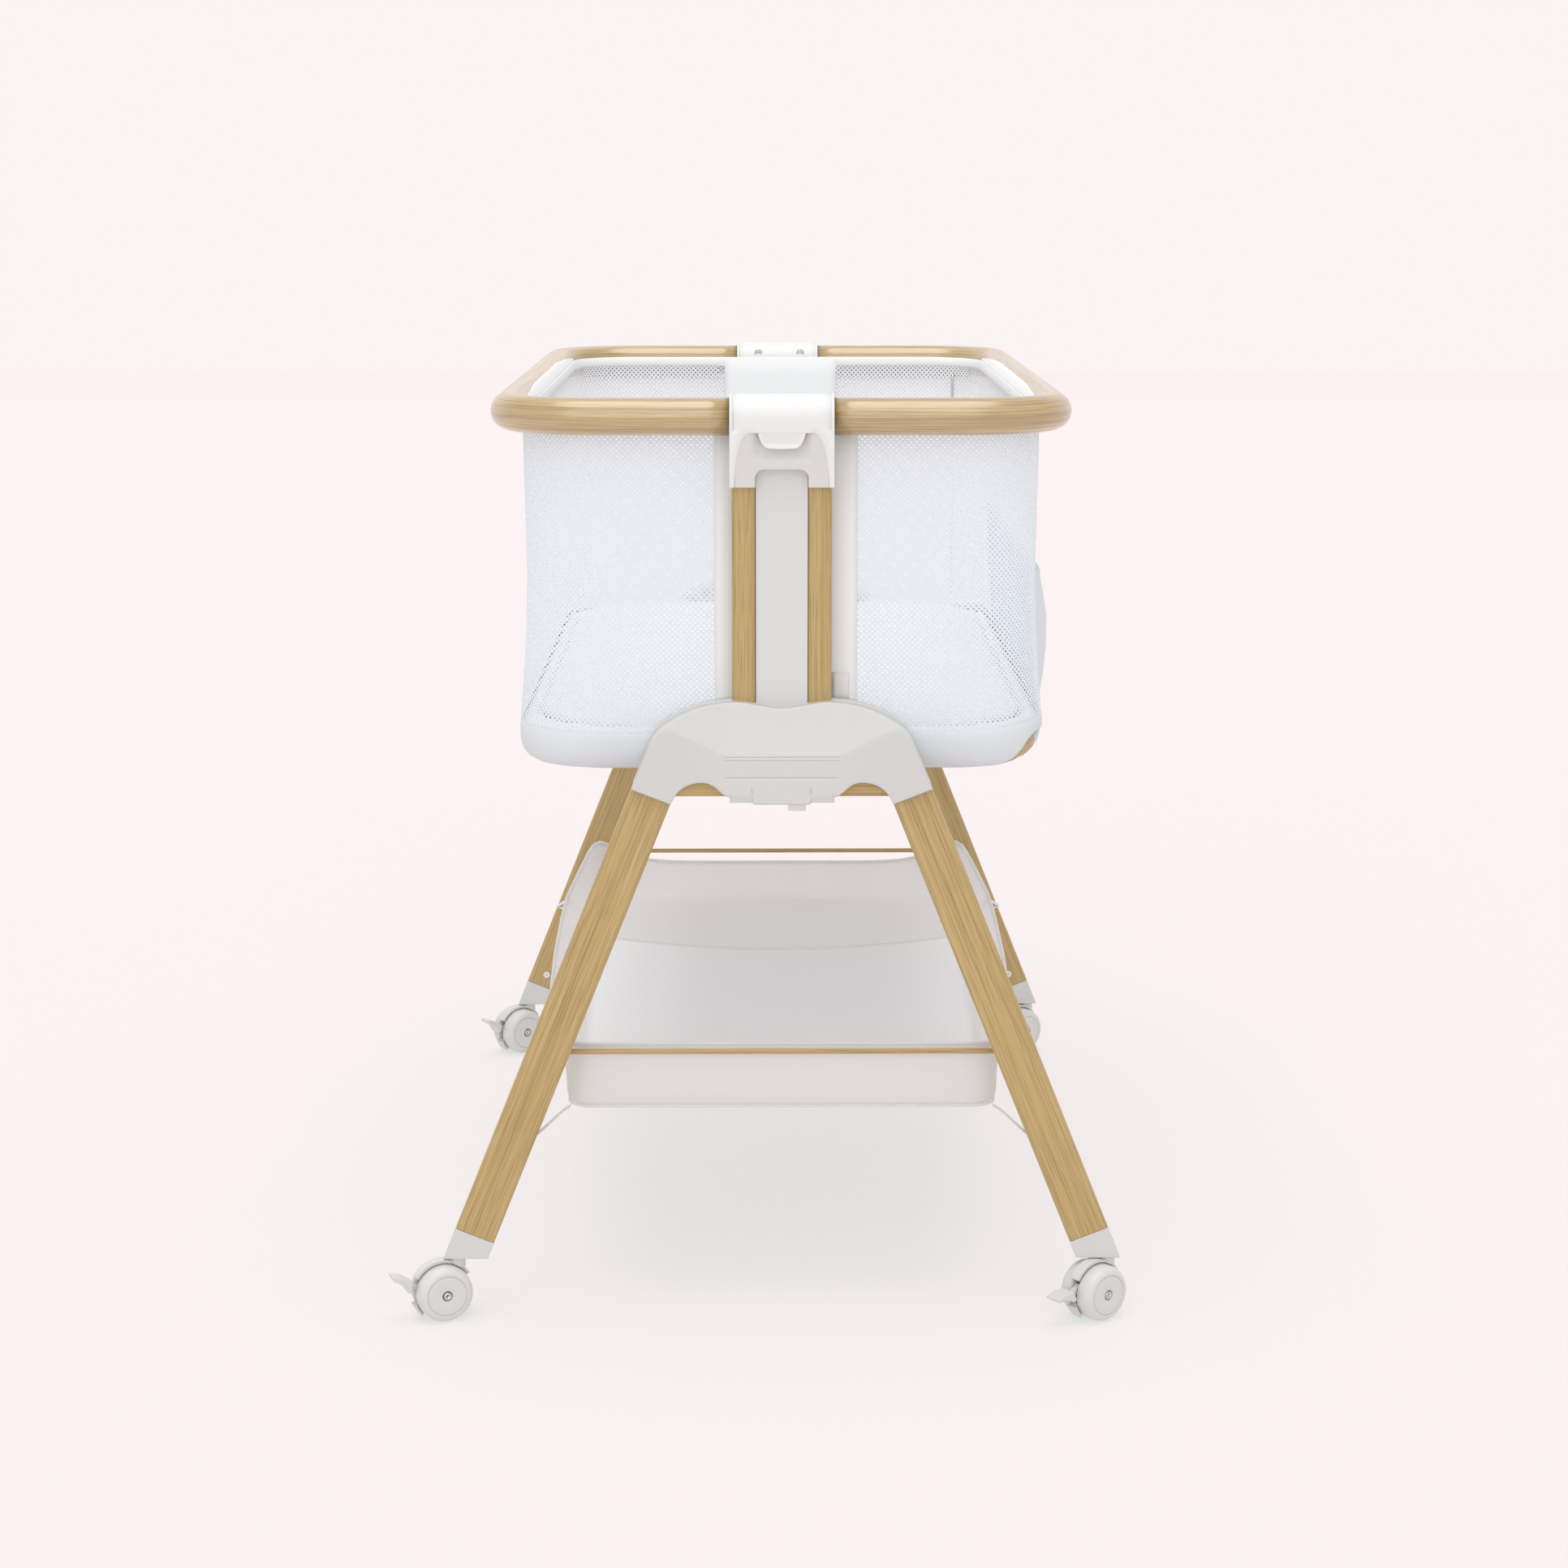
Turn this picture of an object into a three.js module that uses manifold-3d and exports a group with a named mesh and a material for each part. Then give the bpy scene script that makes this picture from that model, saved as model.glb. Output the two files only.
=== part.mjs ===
// A bassinet on a stand with four castors. Millimetres, +Z up, the floor at z = 0.
// X runs across the bassinet and Y along it. The two ends are alike: the front end, at -Y, is drawn once
// and turned half a turn about Z for the rear end.
import * as THREE from 'three'
import { mergeVertices } from 'three/addons/utils/BufferGeometryUtils.js'
import Module from 'manifold-3d'

const wasm = await Module()
wasm.setup()

// ---------------------------------------------------------------- driving dimensions

const GAP = 0.3 // left between pieces that touch

const RAIL = { halfWidth: 256, halfLength: 446, corner: 85, radius: 17.3, z: 857.5, capHalf: 48.2 }

const CAP = { half: 47.9, front: -470, depth: 22.5, height: 21, cheek: 43.7, skirt: 3.3, bottom: 794.3 }
const ARCH = { outer: 43.4, peak: 28.4, top: 848 } // the two openings in the cap's skirt

const POST = { width: 21.5, depth: 18, edge: 3, x: 35.3, y: -449, bottom: 506, top: 793.7 }
const PANEL = { half: 24, front: -455.5, back: -441, bottom: 508, top: 810.3, corner: 8 }
const BRIDGE = { half: 43.3, front: -463, back: -437, top: 849.2 }

const LEVER = { half: 21.6, foot: 14, front: -466.4, back: -463.3, bottom: 834, lip: 3, travel: 8 }

const HUB = { front: -486, split: -459.5, back: -436, bevel: 3, blockHalf: 48.4, bottom: 504.6,
  dip: 593.5, top: 599.5, bump: 44.5, shoulder: 567, arch: 523, archX: 73 }
const CHANNEL = { half: 46.8, back: -439.4 } // the way of the posts through the hub
const CROSSBAR = { front: -474.5, back: -460, bottom: 509, top: 545 }
const LATCH = { half: 27, front: -486.3, back: -475.6, bottom: 502.8, top: 521 }
const TAB = { left: 5.5, right: 22, front: -484, back: -477.8, bottom: 497, top: 503.6, travel: 4 }

const LEG = { width: 39, depth: 20, edge: 4, y: -465, footX: 292.8, footZ: 81.85, topX: 121.3, topZ: 509.3 }
const FOOT = { bottom: 59, stemX: 311, holeRadius: 3.9, holeTop: 71 }

const TUB = { wall: 2, floor: 523.4 }
const TUBE = { radius: 14.5, halfWidth: 230.5, halfLength: 413, corner: 70, z: 541 }
const BOARD = { halfWidth: 232, halfLength: 414, corner: 70, bottom: 556, top: 558.5 }
const MATTRESS = { halfWidth: 235, halfLength: 421, corner: 72, bottom: 559, top: 573 }
const POCKET = { halfLength: 300, gap: 0.8 }

// bulge is how far the long sides stand out half way along. rearBow is what the rim gains at the rear.
const BASKET = { halfWidth: 204, halfLength: 443, corner: 22, bottom: 199.5, wall: 2, bulge: 42, rearBow: 9 }
const BASKET_RIM = { front: 261, rear: 243, sag: 30 }
const ROD = { radius: 2.6, half: 212, y: -448.5, z: 256.5 }

const WHEEL = { radius: 27, inner: 4, outer: 21, bore: 4.3, faceRadius: 21.8, shoulder: 12.5 }
const CASTER = {
  trail: 16, axleRadius: 4, axleHalf: 20, hoodInner: 28.3, hoodOuter: 30.8, hoodHalf: 5.5, web: 3.4,
}
const STEM = { neckRadius: 8, pinRadius: 3.5, pinTop: 70 }
const PEDAL = { half: 8.5, pivotOut: 22, pivotUp: 4, armHalf: 3 }

// How far each castor is swivelled, in degrees about +Z, and how far its pedal is pressed.
const CASTERS = [
  { name: 'front_left', x: -1, y: -1, swivel: 22, pressed: 0 },
  { name: 'front_right', x: 1, y: -1, swivel: 38, pressed: 33 },
  { name: 'rear_left', x: -1, y: 1, swivel: 38, pressed: 0 },
  { name: 'rear_right', x: 1, y: 1, swivel: 38, pressed: 0 },
]

// ---------------------------------------------------------------- materials

const finish = (color, roughness, metalness = 0) => () =>
  new THREE.MeshStandardMaterial({ color, roughness, metalness })

const wood = finish('#c4a773', 0.5)
const whitePlastic = finish('#e4e4e3', 0.45)
const greyPlastic = finish('#d6d5d3', 0.5)
const casterPlastic = finish('#d9d7d4', 0.4)
const steel = finish('#b8bbbd', 0.3, 1)
const meshFabric = finish('#e9ecf4', 0.9)
const plainFabric = finish('#e6e8ea', 0.9)
const quilt = finish('#f1f3f6', 0.95)
const hardboard = finish('#b89a6c', 0.8)

// ---------------------------------------------------------------- helpers

const radians = THREE.MathUtils.degToRad
const { lerp } = THREE.MathUtils

/** The geometry as a manifold solid. */
function toSolid(geometry) {
  const bare = geometry.clone()
  bare.deleteAttribute('normal')
  bare.deleteAttribute('uv')
  const merged = mergeVertices(bare, 1e-4)
  const vertProperties = new Float32Array(merged.attributes.position.array)
  const triVerts = new Uint32Array(merged.index.array)
  return new wasm.Manifold(new wasm.Mesh({ numProp: 3, vertProperties, triVerts }))
}

/** The manifold solid as a geometry. */
function toGeometry(solid) {
  const { vertProperties, triVerts } = solid.getMesh()
  const geometry = new THREE.BufferGeometry()
  geometry.setAttribute('position', new THREE.BufferAttribute(vertProperties, 3))
  geometry.setIndex(new THREE.BufferAttribute(triVerts, 1))
  geometry.computeVertexNormals()
  return geometry
}

const join = (...pieces) => toGeometry(pieces.map(toSolid).reduce((sum, next) => sum.add(next)))

const cut = (piece, ...tools) =>
  toGeometry(tools.map(toSolid).reduce((rest, tool) => rest.subtract(tool), toSolid(piece)))

/** A box between two corners. */
function block(low, high) {
  const size = high.map((value, i) => value - low[i])
  const centre = high.map((value, i) => (value + low[i]) / 2)
  return new THREE.BoxGeometry(...size).translate(...centre)
}

/** A rectangle with round corners about the origin. */
function roundedRectangle(width, height, radius) {
  const [w, h] = [width / 2 - radius, height / 2 - radius]
  const shape = new THREE.Shape()
  shape.absarc(w, h, radius, 0, Math.PI / 2)
  shape.absarc(-w, h, radius, Math.PI / 2, Math.PI)
  shape.absarc(-w, -h, radius, Math.PI, Math.PI * 1.5)
  shape.absarc(w, -h, radius, Math.PI * 1.5, Math.PI * 2)
  return shape
}

/** A closed outline through points. */
const outline = (...points) => new THREE.Shape(points.map(([x, y]) => new THREE.Vector2(x, y)))

/** An outline drawn in X and Z, as a plate between two values of Y. */
function plate(shape, y0, y1, bevel = 0, curveSegments = 6) {
  const geometry = new THREE.ExtrudeGeometry(shape, {
    depth: y1 - y0 - 2 * bevel,
    bevelEnabled: bevel > 0,
    bevelThickness: bevel,
    bevelSize: bevel,
    bevelOffset: -bevel,
    bevelSegments: 2,
    curveSegments,
  })
  return geometry.rotateX(Math.PI / 2).translate(0, y1 - bevel, 0)
}

/** An outline drawn in X and Y, as a slab between two heights. */
function slab(shape, z0, z1, curveSegments = 6) {
  const options = { depth: z1 - z0, bevelEnabled: false, curveSegments }
  return new THREE.ExtrudeGeometry(shape, options).translate(0, 0, z0)
}

/** An upright or lying cylinder; axis is 'x', 'y' or 'z'. */
function rod(radius, length, axis, segments = 16) {
  const geometry = new THREE.CylinderGeometry(radius, radius, length, segments)
  if (axis === 'x') geometry.rotateZ(Math.PI / 2)
  if (axis === 'z') geometry.rotateX(Math.PI / 2)
  return geometry
}

/** A path through points that a sweep follows point by point. */
class PointPath extends THREE.Curve {
  constructor(points) {
    super()
    this.points = points
  }

  getPoint(t, target = new THREE.Vector3()) {
    const place = t * (this.points.length - 1)
    const index = Math.min(Math.floor(place), this.points.length - 2)
    return target.lerpVectors(this.points[index], this.points[index + 1], place - index)
  }

  getPointAt(t, target) {
    return this.getPoint(t, target)
  }

  getTangentAt(t, target) {
    return this.getTangent(t, target)
  }
}

/** A round tube along points. */
function tube(points, radius, sides = 16) {
  const section = new THREE.Shape().absarc(0, 0, radius, 0, Math.PI * 2)
  const extrudePath = new PointPath(points)
  return new THREE.ExtrudeGeometry(section, {
    steps: points.length - 1,
    extrudePath,
    curveSegments: sides / 2,
    bevelEnabled: false,
  })
}

/** Points of a quarter circle in a level plane, between two angles in degrees. */
function cornerPoints(cx, cy, z, radius, from, to, steps = 8) {
  return Array.from({ length: steps + 1 }, (_, i) => {
    const angle = radians(lerp(from, to, i / steps))
    return new THREE.Vector3(cx + radius * Math.cos(angle), cy + radius * Math.sin(angle), z)
  })
}

/** The ring of a rounded rectangle at one height. */
function levelRing(halfWidth, halfLength, radius, z) {
  const [x, y] = [halfWidth - radius, halfLength - radius]
  const corners = [[x, y, 0], [-x, y, 90], [-x, -y, 180], [x, -y, 270]]
  return corners.flatMap(([cx, cy, from]) => cornerPoints(cx, cy, z, radius, from, from + 90, 6))
}

/** A closed skin over a stack of rings with the same number of points, closed at a pole at each end. */
function ringSkin(rings, firstPole, lastPole) {
  const count = rings[0].length
  const positions = [firstPole, ...rings.flat(), lastPole].flatMap((point) => point.toArray())
  const last = 1 + rings.length * count
  const at = (ring, i) => 1 + ring * count + (i % count)
  const index = []
  for (let i = 0; i < count; i++) {
    index.push(0, at(0, i + 1), at(0, i))
    index.push(last, at(rings.length - 1, i), at(rings.length - 1, i + 1))
    for (let ring = 0; ring + 1 < rings.length; ring++) {
      index.push(at(ring, i), at(ring, i + 1), at(ring + 1, i + 1))
      index.push(at(ring, i), at(ring + 1, i + 1), at(ring + 1, i))
    }
  }
  const geometry = new THREE.BufferGeometry()
  geometry.setAttribute('position', new THREE.Float32BufferAttribute(positions, 3))
  geometry.setIndex(index)
  geometry.computeVertexNormals()
  return geometry
}

/** A named mesh with its own material. */
function piece(name, geometry, material) {
  const mesh = new THREE.Mesh(geometry, material())
  mesh.name = name
  return mesh
}

// ---------------------------------------------------------------- stand, drawn at the front end

const LEG_ANGLE = Math.atan2(LEG.footX - LEG.topX, LEG.topZ - LEG.footZ)
const LEG_LENGTH = Math.hypot(LEG.footX - LEG.topX, LEG.topZ - LEG.footZ)

/** The x of the leg's edge at height z, on the side +1; shift is measured across the leg. */
function legEdge(z, shift) {
  const alongZ = (z - LEG.footZ) / Math.cos(LEG_ANGLE)
  return LEG.footX - alongZ * Math.sin(LEG_ANGLE) + shift / Math.cos(LEG_ANGLE)
}

/** A corner of the square cut at one end of the leg, on the side +1. */
function legCorner(x, z, shift) {
  return [x + shift * Math.cos(LEG_ANGLE), z + shift * Math.sin(LEG_ANGLE)]
}

function leg(side) {
  const section = roundedRectangle(LEG.width, LEG.depth, LEG.edge)
  const options = { depth: LEG_LENGTH - 2 * GAP, bevelEnabled: false, curveSegments: 3 }
  const geometry = new THREE.ExtrudeGeometry(section, options).translate(0, 0, GAP)
  return geometry.rotateY(-side * LEG_ANGLE).translate(side * LEG.footX, LEG.y, LEG.footZ)
}

function footSocket(side) {
  const half = LEG.width / 2
  const points = [
    legCorner(LEG.footX, LEG.footZ, half),
    [legEdge(FOOT.bottom, half), FOOT.bottom],
    [legEdge(FOOT.bottom, -half), FOOT.bottom],
    legCorner(LEG.footX, LEG.footZ, -half),
  ]
  const shape = outline(...points.map(([x, z]) => [side * x, z]))
  const body = plate(shape, LEG.y - LEG.depth / 2, LEG.y + LEG.depth / 2)
  const height = FOOT.holeTop - FOOT.bottom
  const hole = rod(FOOT.holeRadius, 2 * height, 'z').translate(side * FOOT.stemX, LEG.y, FOOT.bottom)
  return cut(body, hole)
}

/** The right half of the hub's outline: curves as [control, control, end] and lines as [end]. */
function hubHalfOutline() {
  const half = LEG.width / 2
  return [
    [[16, HUB.dip], [27, HUB.top], [HUB.bump, HUB.top]],
    [[72, HUB.top - 1], [92, 585], [legEdge(HUB.shoulder, half), HUB.shoulder]],
    [legCorner(LEG.topX, LEG.topZ, half)],
    [legCorner(LEG.topX, LEG.topZ, -half)],
    [[98, 516], [88, HUB.arch], [HUB.archX, HUB.arch]],
    [[61, HUB.arch], [57, 511], [HUB.blockHalf, 509.5]],
    [[HUB.blockHalf, HUB.bottom]],
  ]
}

/** The hub's outline: a saddle over the posts, two leg sockets, two arches and a block between them. */
function hubOutline() {
  const right = hubHalfOutline()
  const shape = new THREE.Shape()
  shape.moveTo(0, HUB.dip)
  for (const step of right) {
    if (step.length === 3) shape.bezierCurveTo(...step.flat())
    else shape.lineTo(...step[0])
  }
  const mirrored = ([x, z]) => [-x, z]
  shape.lineTo(-HUB.blockHalf, HUB.bottom)
  for (let i = right.length - 1; i >= 0; i--) {
    const end = mirrored(i > 0 ? right[i - 1].at(-1) : [0, HUB.dip])
    if (right[i].length === 3) {
      const [first, second] = right[i]
      shape.bezierCurveTo(...mirrored(second), ...mirrored(first), ...end)
    } else shape.lineTo(...end)
  }
  return shape
}

/** The crossbar's outline between the legs, grown by a clearance. */
function crossbarOutline(grow) {
  const [bottom, top] = [CROSSBAR.bottom - grow, CROSSBAR.top + grow]
  const low = legEdge(bottom, -LEG.width / 2) - 1 + grow
  const high = legEdge(top, -LEG.width / 2) - 1 + grow
  return outline([low, bottom], [high, top], [-high, top], [-low, bottom])
}

function hubOuter() {
  const cover = plate(hubOutline(), HUB.front, HUB.split, HUB.bevel, 8)
  const seat = plate(crossbarOutline(GAP), CROSSBAR.front - GAP, HUB.split + 1)
  const { half, top, back } = LATCH
  const latchSeat = block([-half - GAP, HUB.front - 1, 490], [half + GAP, back + 1.1, top + GAP])
  return cut(cover, seat, latchSeat)
}

function hubInner() {
  const cover = plate(hubOutline(), HUB.split + GAP, HUB.back, 0, 8)
  const channel = block([-CHANNEL.half, HUB.split - 1, 480], [CHANNEL.half, CHANNEL.back, 620])
  return cut(cover, channel)
}

function latchCover() {
  const { half, front, back, bottom, top } = LATCH
  const shape = outline([-half, 508], [-half + 4, bottom], [half, bottom], [half, top], [-half, top])
  const cover = plate(shape, front, back)
  const low = [TAB.left - GAP, TAB.front - GAP, bottom - 1]
  const high = [TAB.right + GAP, TAB.back + GAP, TAB.top + TAB.travel + GAP]
  return cut(cover, block(low, high))
}

const lockTab = () =>
  block([TAB.left, TAB.front, TAB.bottom], [TAB.right, TAB.back, TAB.top])

const basketRod = () => rod(ROD.radius, 2 * ROD.half, 'x', 12).translate(0, ROD.y, ROD.z)

function standEnd(end, left, right) {
  const group = new THREE.Group()
  group.add(
    piece(`leg_${end}_${left}`, leg(-1), wood),
    piece(`leg_${end}_${right}`, leg(1), wood),
    piece(`foot_socket_${end}_${left}`, footSocket(-1), whitePlastic),
    piece(`foot_socket_${end}_${right}`, footSocket(1), whitePlastic),
    piece(`crossbar_${end}`, plate(crossbarOutline(0), CROSSBAR.front, CROSSBAR.back), wood),
    piece(`hub_outer_${end}`, hubOuter(), whitePlastic),
    piece(`hub_inner_${end}`, hubInner(), whitePlastic),
    piece(`latch_cover_${end}`, latchCover(), whitePlastic),
    piece(`lock_tab_${end}`, lockTab(), greyPlastic),
    piece(`basket_rod_${end}`, basketRod(), wood),
  )
  return group
}

// ---------------------------------------------------------------- castors

/** A ring sector about the wheel's axle, drawn in X and Z, between two radii and two angles. */
function sector(inner, outer, from, to, half) {
  const shape = new THREE.Shape()
  shape.absarc(-CASTER.trail, WHEEL.radius, outer, radians(from), radians(to), false)
  shape.absarc(-CASTER.trail, WHEEL.radius, inner, radians(to), radians(from), true)
  return plate(shape, -half, half, 0, 10)
}

/** The castor's fork: a web between the wheels, a hood over them, a lower guard, a neck and a stem pin. */
function casterHousing() {
  const { hoodInner, hoodOuter, hoodHalf, web } = CASTER
  const neckBottom = WHEEL.radius + 22
  const neckTop = FOOT.bottom - GAP
  const hub = rod(14, 2 * web, 'y', 24).translate(-CASTER.trail, 0, WHEEL.radius)
  const spine = sector(6, hoodOuter - 0.5, 30, 148, web)
  const guardSpine = sector(6, hoodOuter - 0.5, 200, 226, web)
  const hood = sector(hoodInner, hoodOuter, 30, 148, hoodHalf)
  const guard = sector(hoodInner, hoodOuter, 200, 226, hoodHalf)
  const neck = rod(STEM.neckRadius, neckTop - neckBottom, 'z', 20)
    .translate(0, 0, (neckTop + neckBottom) / 2)
  const pin = rod(STEM.pinRadius, STEM.pinTop - neckBottom, 'z', 12)
    .translate(0, 0, (STEM.pinTop + neckBottom) / 2)
  const bore = rod(WHEEL.bore, 20, 'y').translate(-CASTER.trail, 0, WHEEL.radius)
  const wheelRoom = sector(WHEEL.bore + 1, hoodInner, 0, 359, 30)
  const trimmedNeck = cut(neck, wheelRoom)
  const trimmedPin = cut(pin, wheelRoom)
  return cut(join(hub, spine, guardSpine, hood, guard, trimmedNeck, trimmedPin), bore)
}

/** One wheel of the pair: a disc with a rounded tread; face is -1 for the outer wheel, +1 for the inner. */
function wheel(face) {
  const { radius, inner, outer, bore, faceRadius, shoulder } = WHEEL
  const profile = [
    [bore, inner], [radius - 1, inner], [radius, inner + 1.2], [radius, shoulder],
    [radius - 1.2, shoulder + 5], [faceRadius + 1.4, outer - 0.8], [faceRadius, outer], [bore, outer],
  ]
  const points = [...profile, profile[0]].map(([r, y]) => new THREE.Vector2(r, y))
  const geometry = new THREE.LatheGeometry(points, 32)
  if (face < 0) geometry.rotateX(Math.PI)
  return geometry.translate(-CASTER.trail, 0, WHEEL.radius)
}

const axle = () =>
  rod(CASTER.axleRadius, 2 * CASTER.axleHalf, 'y').translate(-CASTER.trail, 0, WHEEL.radius)

/** The brake pedal: a paddle that stands out past the wheels, on an arm between them. */
function pedal(pressed) {
  const { half, pivotOut, pivotUp, armHalf } = PEDAL
  const shape = new THREE.Shape()
  shape.moveTo(30, 13)
  shape.lineTo(34, 15)
  shape.quadraticCurveTo(41, 20.5, 49.5, 21)
  shape.quadraticCurveTo(50.5, 18.5, 48.5, 16.5)
  shape.quadraticCurveTo(41, 13.5, 37, 8)
  shape.lineTo(35, 3.5)
  shape.lineTo(31, 3.5)
  const arm = block([17.5, -armHalf, 4], [32, armHalf, 8.5])
  const paddle = join(plate(shape, -half, half, 1, 4), arm)
  paddle.translate(-pivotOut, 0, -pivotUp).rotateY(radians(pressed)).rotateZ(Math.PI)
  return paddle.translate(-CASTER.trail - pivotOut, 0, WHEEL.radius + pivotUp)
}

function caster({ name, x, y, swivel, pressed }) {
  const group = new THREE.Group()
  group.add(
    piece(`caster_housing_${name}`, casterHousing(), casterPlastic),
    piece(`wheel_outer_${name}`, wheel(-1), casterPlastic),
    piece(`wheel_inner_${name}`, wheel(1), casterPlastic),
    piece(`axle_${name}`, axle(), steel),
    piece(`brake_pedal_${name}`, pedal(pressed), casterPlastic),
  )
  group.rotation.z = radians(swivel)
  group.position.set(x * FOOT.stemX, y * -LEG.y, 0)
  return group
}

// ---------------------------------------------------------------- bassinet frame, drawn at the front end

/** The cap over the rail joint: a barrel, a front skirt with two arches, and a cheek at each side. */
function cap() {
  const { half, front, depth, height, cheek, skirt, bottom } = CAP
  const barrel = new THREE.CylinderGeometry(1, 1, 2 * half, 28)
  barrel.rotateZ(Math.PI / 2).scale(1, depth, height).translate(0, front + depth, RAIL.z)
  const face = new THREE.Shape()
  face.moveTo(-half, RAIL.z)
  face.lineTo(-half, bottom)
  face.lineTo(-ARCH.outer, bottom)
  face.bezierCurveTo(-ARCH.outer + 1, 828, -ARCH.peak - 7, ARCH.top, -ARCH.peak, ARCH.top)
  face.lineTo(ARCH.peak, ARCH.top)
  face.bezierCurveTo(ARCH.peak + 7, ARCH.top, ARCH.outer - 1, 828, ARCH.outer, bottom)
  face.lineTo(half, bottom)
  face.lineTo(half, RAIL.z)
  const skirtPlate = plate(face, front, front + skirt)
  const cheeks = [-1, 1].map((side) => {
    const [x0, x1] = side < 0 ? [-half, -cheek] : [cheek, half]
    return block([x0, front + 1, bottom], [x1, BRIDGE.back, RAIL.z])
  })
  const room = block([-cheek, front + skirt, 700], [cheek, -400, BRIDGE.top + GAP])
  const leverRoom = block(
    [-LEVER.half - GAP, front + skirt, 700],
    [LEVER.half + GAP, BRIDGE.front, ARCH.top + 3 + LEVER.travel],
  )
  return cut(join(barrel, skirtPlate, ...cheeks), room, leverRoom)
}

/** The bridge under the cap, which joins the rail to the posts round the head of the centre panel. */
function bridge() {
  const { half, front, back, top } = BRIDGE
  const inner = PANEL.half + GAP
  const head = PANEL.top + GAP
  const corner = PANEL.corner
  const shape = new THREE.Shape()
  shape.moveTo(-half, CAP.bottom)
  shape.lineTo(-inner, CAP.bottom)
  shape.lineTo(-inner, head - corner)
  shape.absarc(-inner + corner, head - corner, corner, Math.PI, Math.PI / 2, true)
  shape.absarc(inner - corner, head - corner, corner, Math.PI / 2, 0, true)
  shape.lineTo(inner, CAP.bottom)
  shape.lineTo(half, CAP.bottom)
  shape.lineTo(half, top)
  shape.lineTo(-half, top)
  return plate(shape, front, back, 0, 4)
}

/** The lever: a U-shaped plate behind the cap's skirt, with a lip that the fingers pull up. */
function lever() {
  const { half, foot, front, back, bottom, lip } = LEVER
  const shape = new THREE.Shape()
  shape.moveTo(-half, ARCH.top + 2.5)
  shape.quadraticCurveTo(-half, bottom, -foot, bottom)
  shape.lineTo(foot, bottom)
  shape.quadraticCurveTo(half, bottom, half, ARCH.top + 2.5)
  const body = plate(shape, front, back, 0, 5)
  const edge = block([-foot, front - lip, bottom], [foot, front + 1, bottom + lip])
  return join(body, edge)
}

function post(side) {
  const { width, depth, edge, x, y, bottom, top } = POST
  return slab(roundedRectangle(width, depth, edge), bottom, top, 2).translate(side * x, y, 0)
}

function centrePanel() {
  const { half, front, back, bottom, top, corner } = PANEL
  const shape = new THREE.Shape()
  shape.moveTo(-half, bottom)
  shape.lineTo(half, bottom)
  shape.absarc(half - corner, top - corner, corner, 0, Math.PI / 2)
  shape.absarc(-half + corner, top - corner, corner, Math.PI / 2, Math.PI)
  return plate(shape, front, back, 0, 4)
}

function bassinetEnd(end, left, right) {
  const group = new THREE.Group()
  group.add(
    piece(`cap_${end}`, cap(), whitePlastic),
    piece(`bridge_${end}`, bridge(), greyPlastic),
    piece(`release_lever_${end}`, lever(), whitePlastic),
    piece(`post_${end}_${left}`, post(-1), wood),
    piece(`post_${end}_${right}`, post(1), wood),
    piece(`centre_panel_${end}`, centrePanel(), whitePlastic),
  )
  return group
}

// ---------------------------------------------------------------- rail, base and soft parts

/** Half of the top rail, from the front cap round one side to the rear cap. */
function railHalf(side) {
  const { halfWidth, halfLength, corner, radius, z, capHalf } = RAIL
  const [x, y] = [halfWidth - corner, halfLength - corner]
  const points = [
    new THREE.Vector3(capHalf, -halfLength, z),
    ...cornerPoints(x, -y, z, corner, -90, 0),
    ...cornerPoints(x, y, z, corner, 0, 90),
    new THREE.Vector3(capHalf, halfLength, z),
  ]
  for (const point of points) point.x *= side
  return tube(points, radius)
}

/** The base tube: one tube bent round the bassinet's floor, its ends meeting at the rear. */
function baseTube() {
  const { radius, halfWidth, halfLength, corner, z } = TUBE
  const [x, y] = [halfWidth - corner, halfLength - corner]
  const points = [
    new THREE.Vector3(-GAP, halfLength, z),
    ...cornerPoints(-x, y, z, corner, 90, 180),
    ...cornerPoints(-x, -y, z, corner, 180, 270),
    ...cornerPoints(x, -y, z, corner, 270, 360),
    ...cornerPoints(x, y, z, corner, 0, 90),
    new THREE.Vector3(GAP, halfLength, z),
  ]
  return tube(points, radius, 12)
}

function padSlab({ halfWidth, halfLength, corner, bottom, top }) {
  return slab(roundedRectangle(2 * halfWidth, 2 * halfLength, corner), bottom, top)
}

// The bassinet body's outside: height, half width, half length and corner radius.
const TUB_LEVELS = [
  [TUB.floor, 226, 408, 64], [525.6, 236, 419, 69], [528, 241.5, 424.5, 71], [534, 246.6, 430, 73],
  [543, 249.4, 433, 74], [566, 250, 434, 75], [600, 246.5, 434, 75], [700, 241.5, 434, 75],
  [838, 244, 433, 75], [846, 238, 424.5, 70], [862, 237.6, 424.5, 70],
]

/** The bassinet body: a tub open at the top, with thin walls and a floor. */
function tub() {
  const rings = TUB_LEVELS.map(([z, w, l, r]) => levelRing(w, l, r, z))
  const inside = TUB_LEVELS.map(([z, w, l, r], i) =>
    levelRing(w - TUB.wall, l - TUB.wall, r - TUB.wall, i === 0 ? z + TUB.wall : z))
  const first = new THREE.Vector3(0, 0, TUB.floor)
  const last = new THREE.Vector3(0, 0, TUB.floor + TUB.wall)
  return ringSkin([...rings, ...inside.reverse()], first, last)
}

/** The soft pocket on the outside of the drop side, which follows the body's wall. */
function sidePocket() {
  const { halfLength, gap } = POCKET
  const shape = outline(
    [250 + gap, 556], [253.5, 556], [256.5, 610], [257, 655], [255, 688], [250, 698],
    [241.6 + gap, 700], [244.1 + gap, 650], [246.5 + gap, 600], [250 + gap, 566],
  )
  return plate(shape, -halfLength, halfLength)
}

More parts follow.
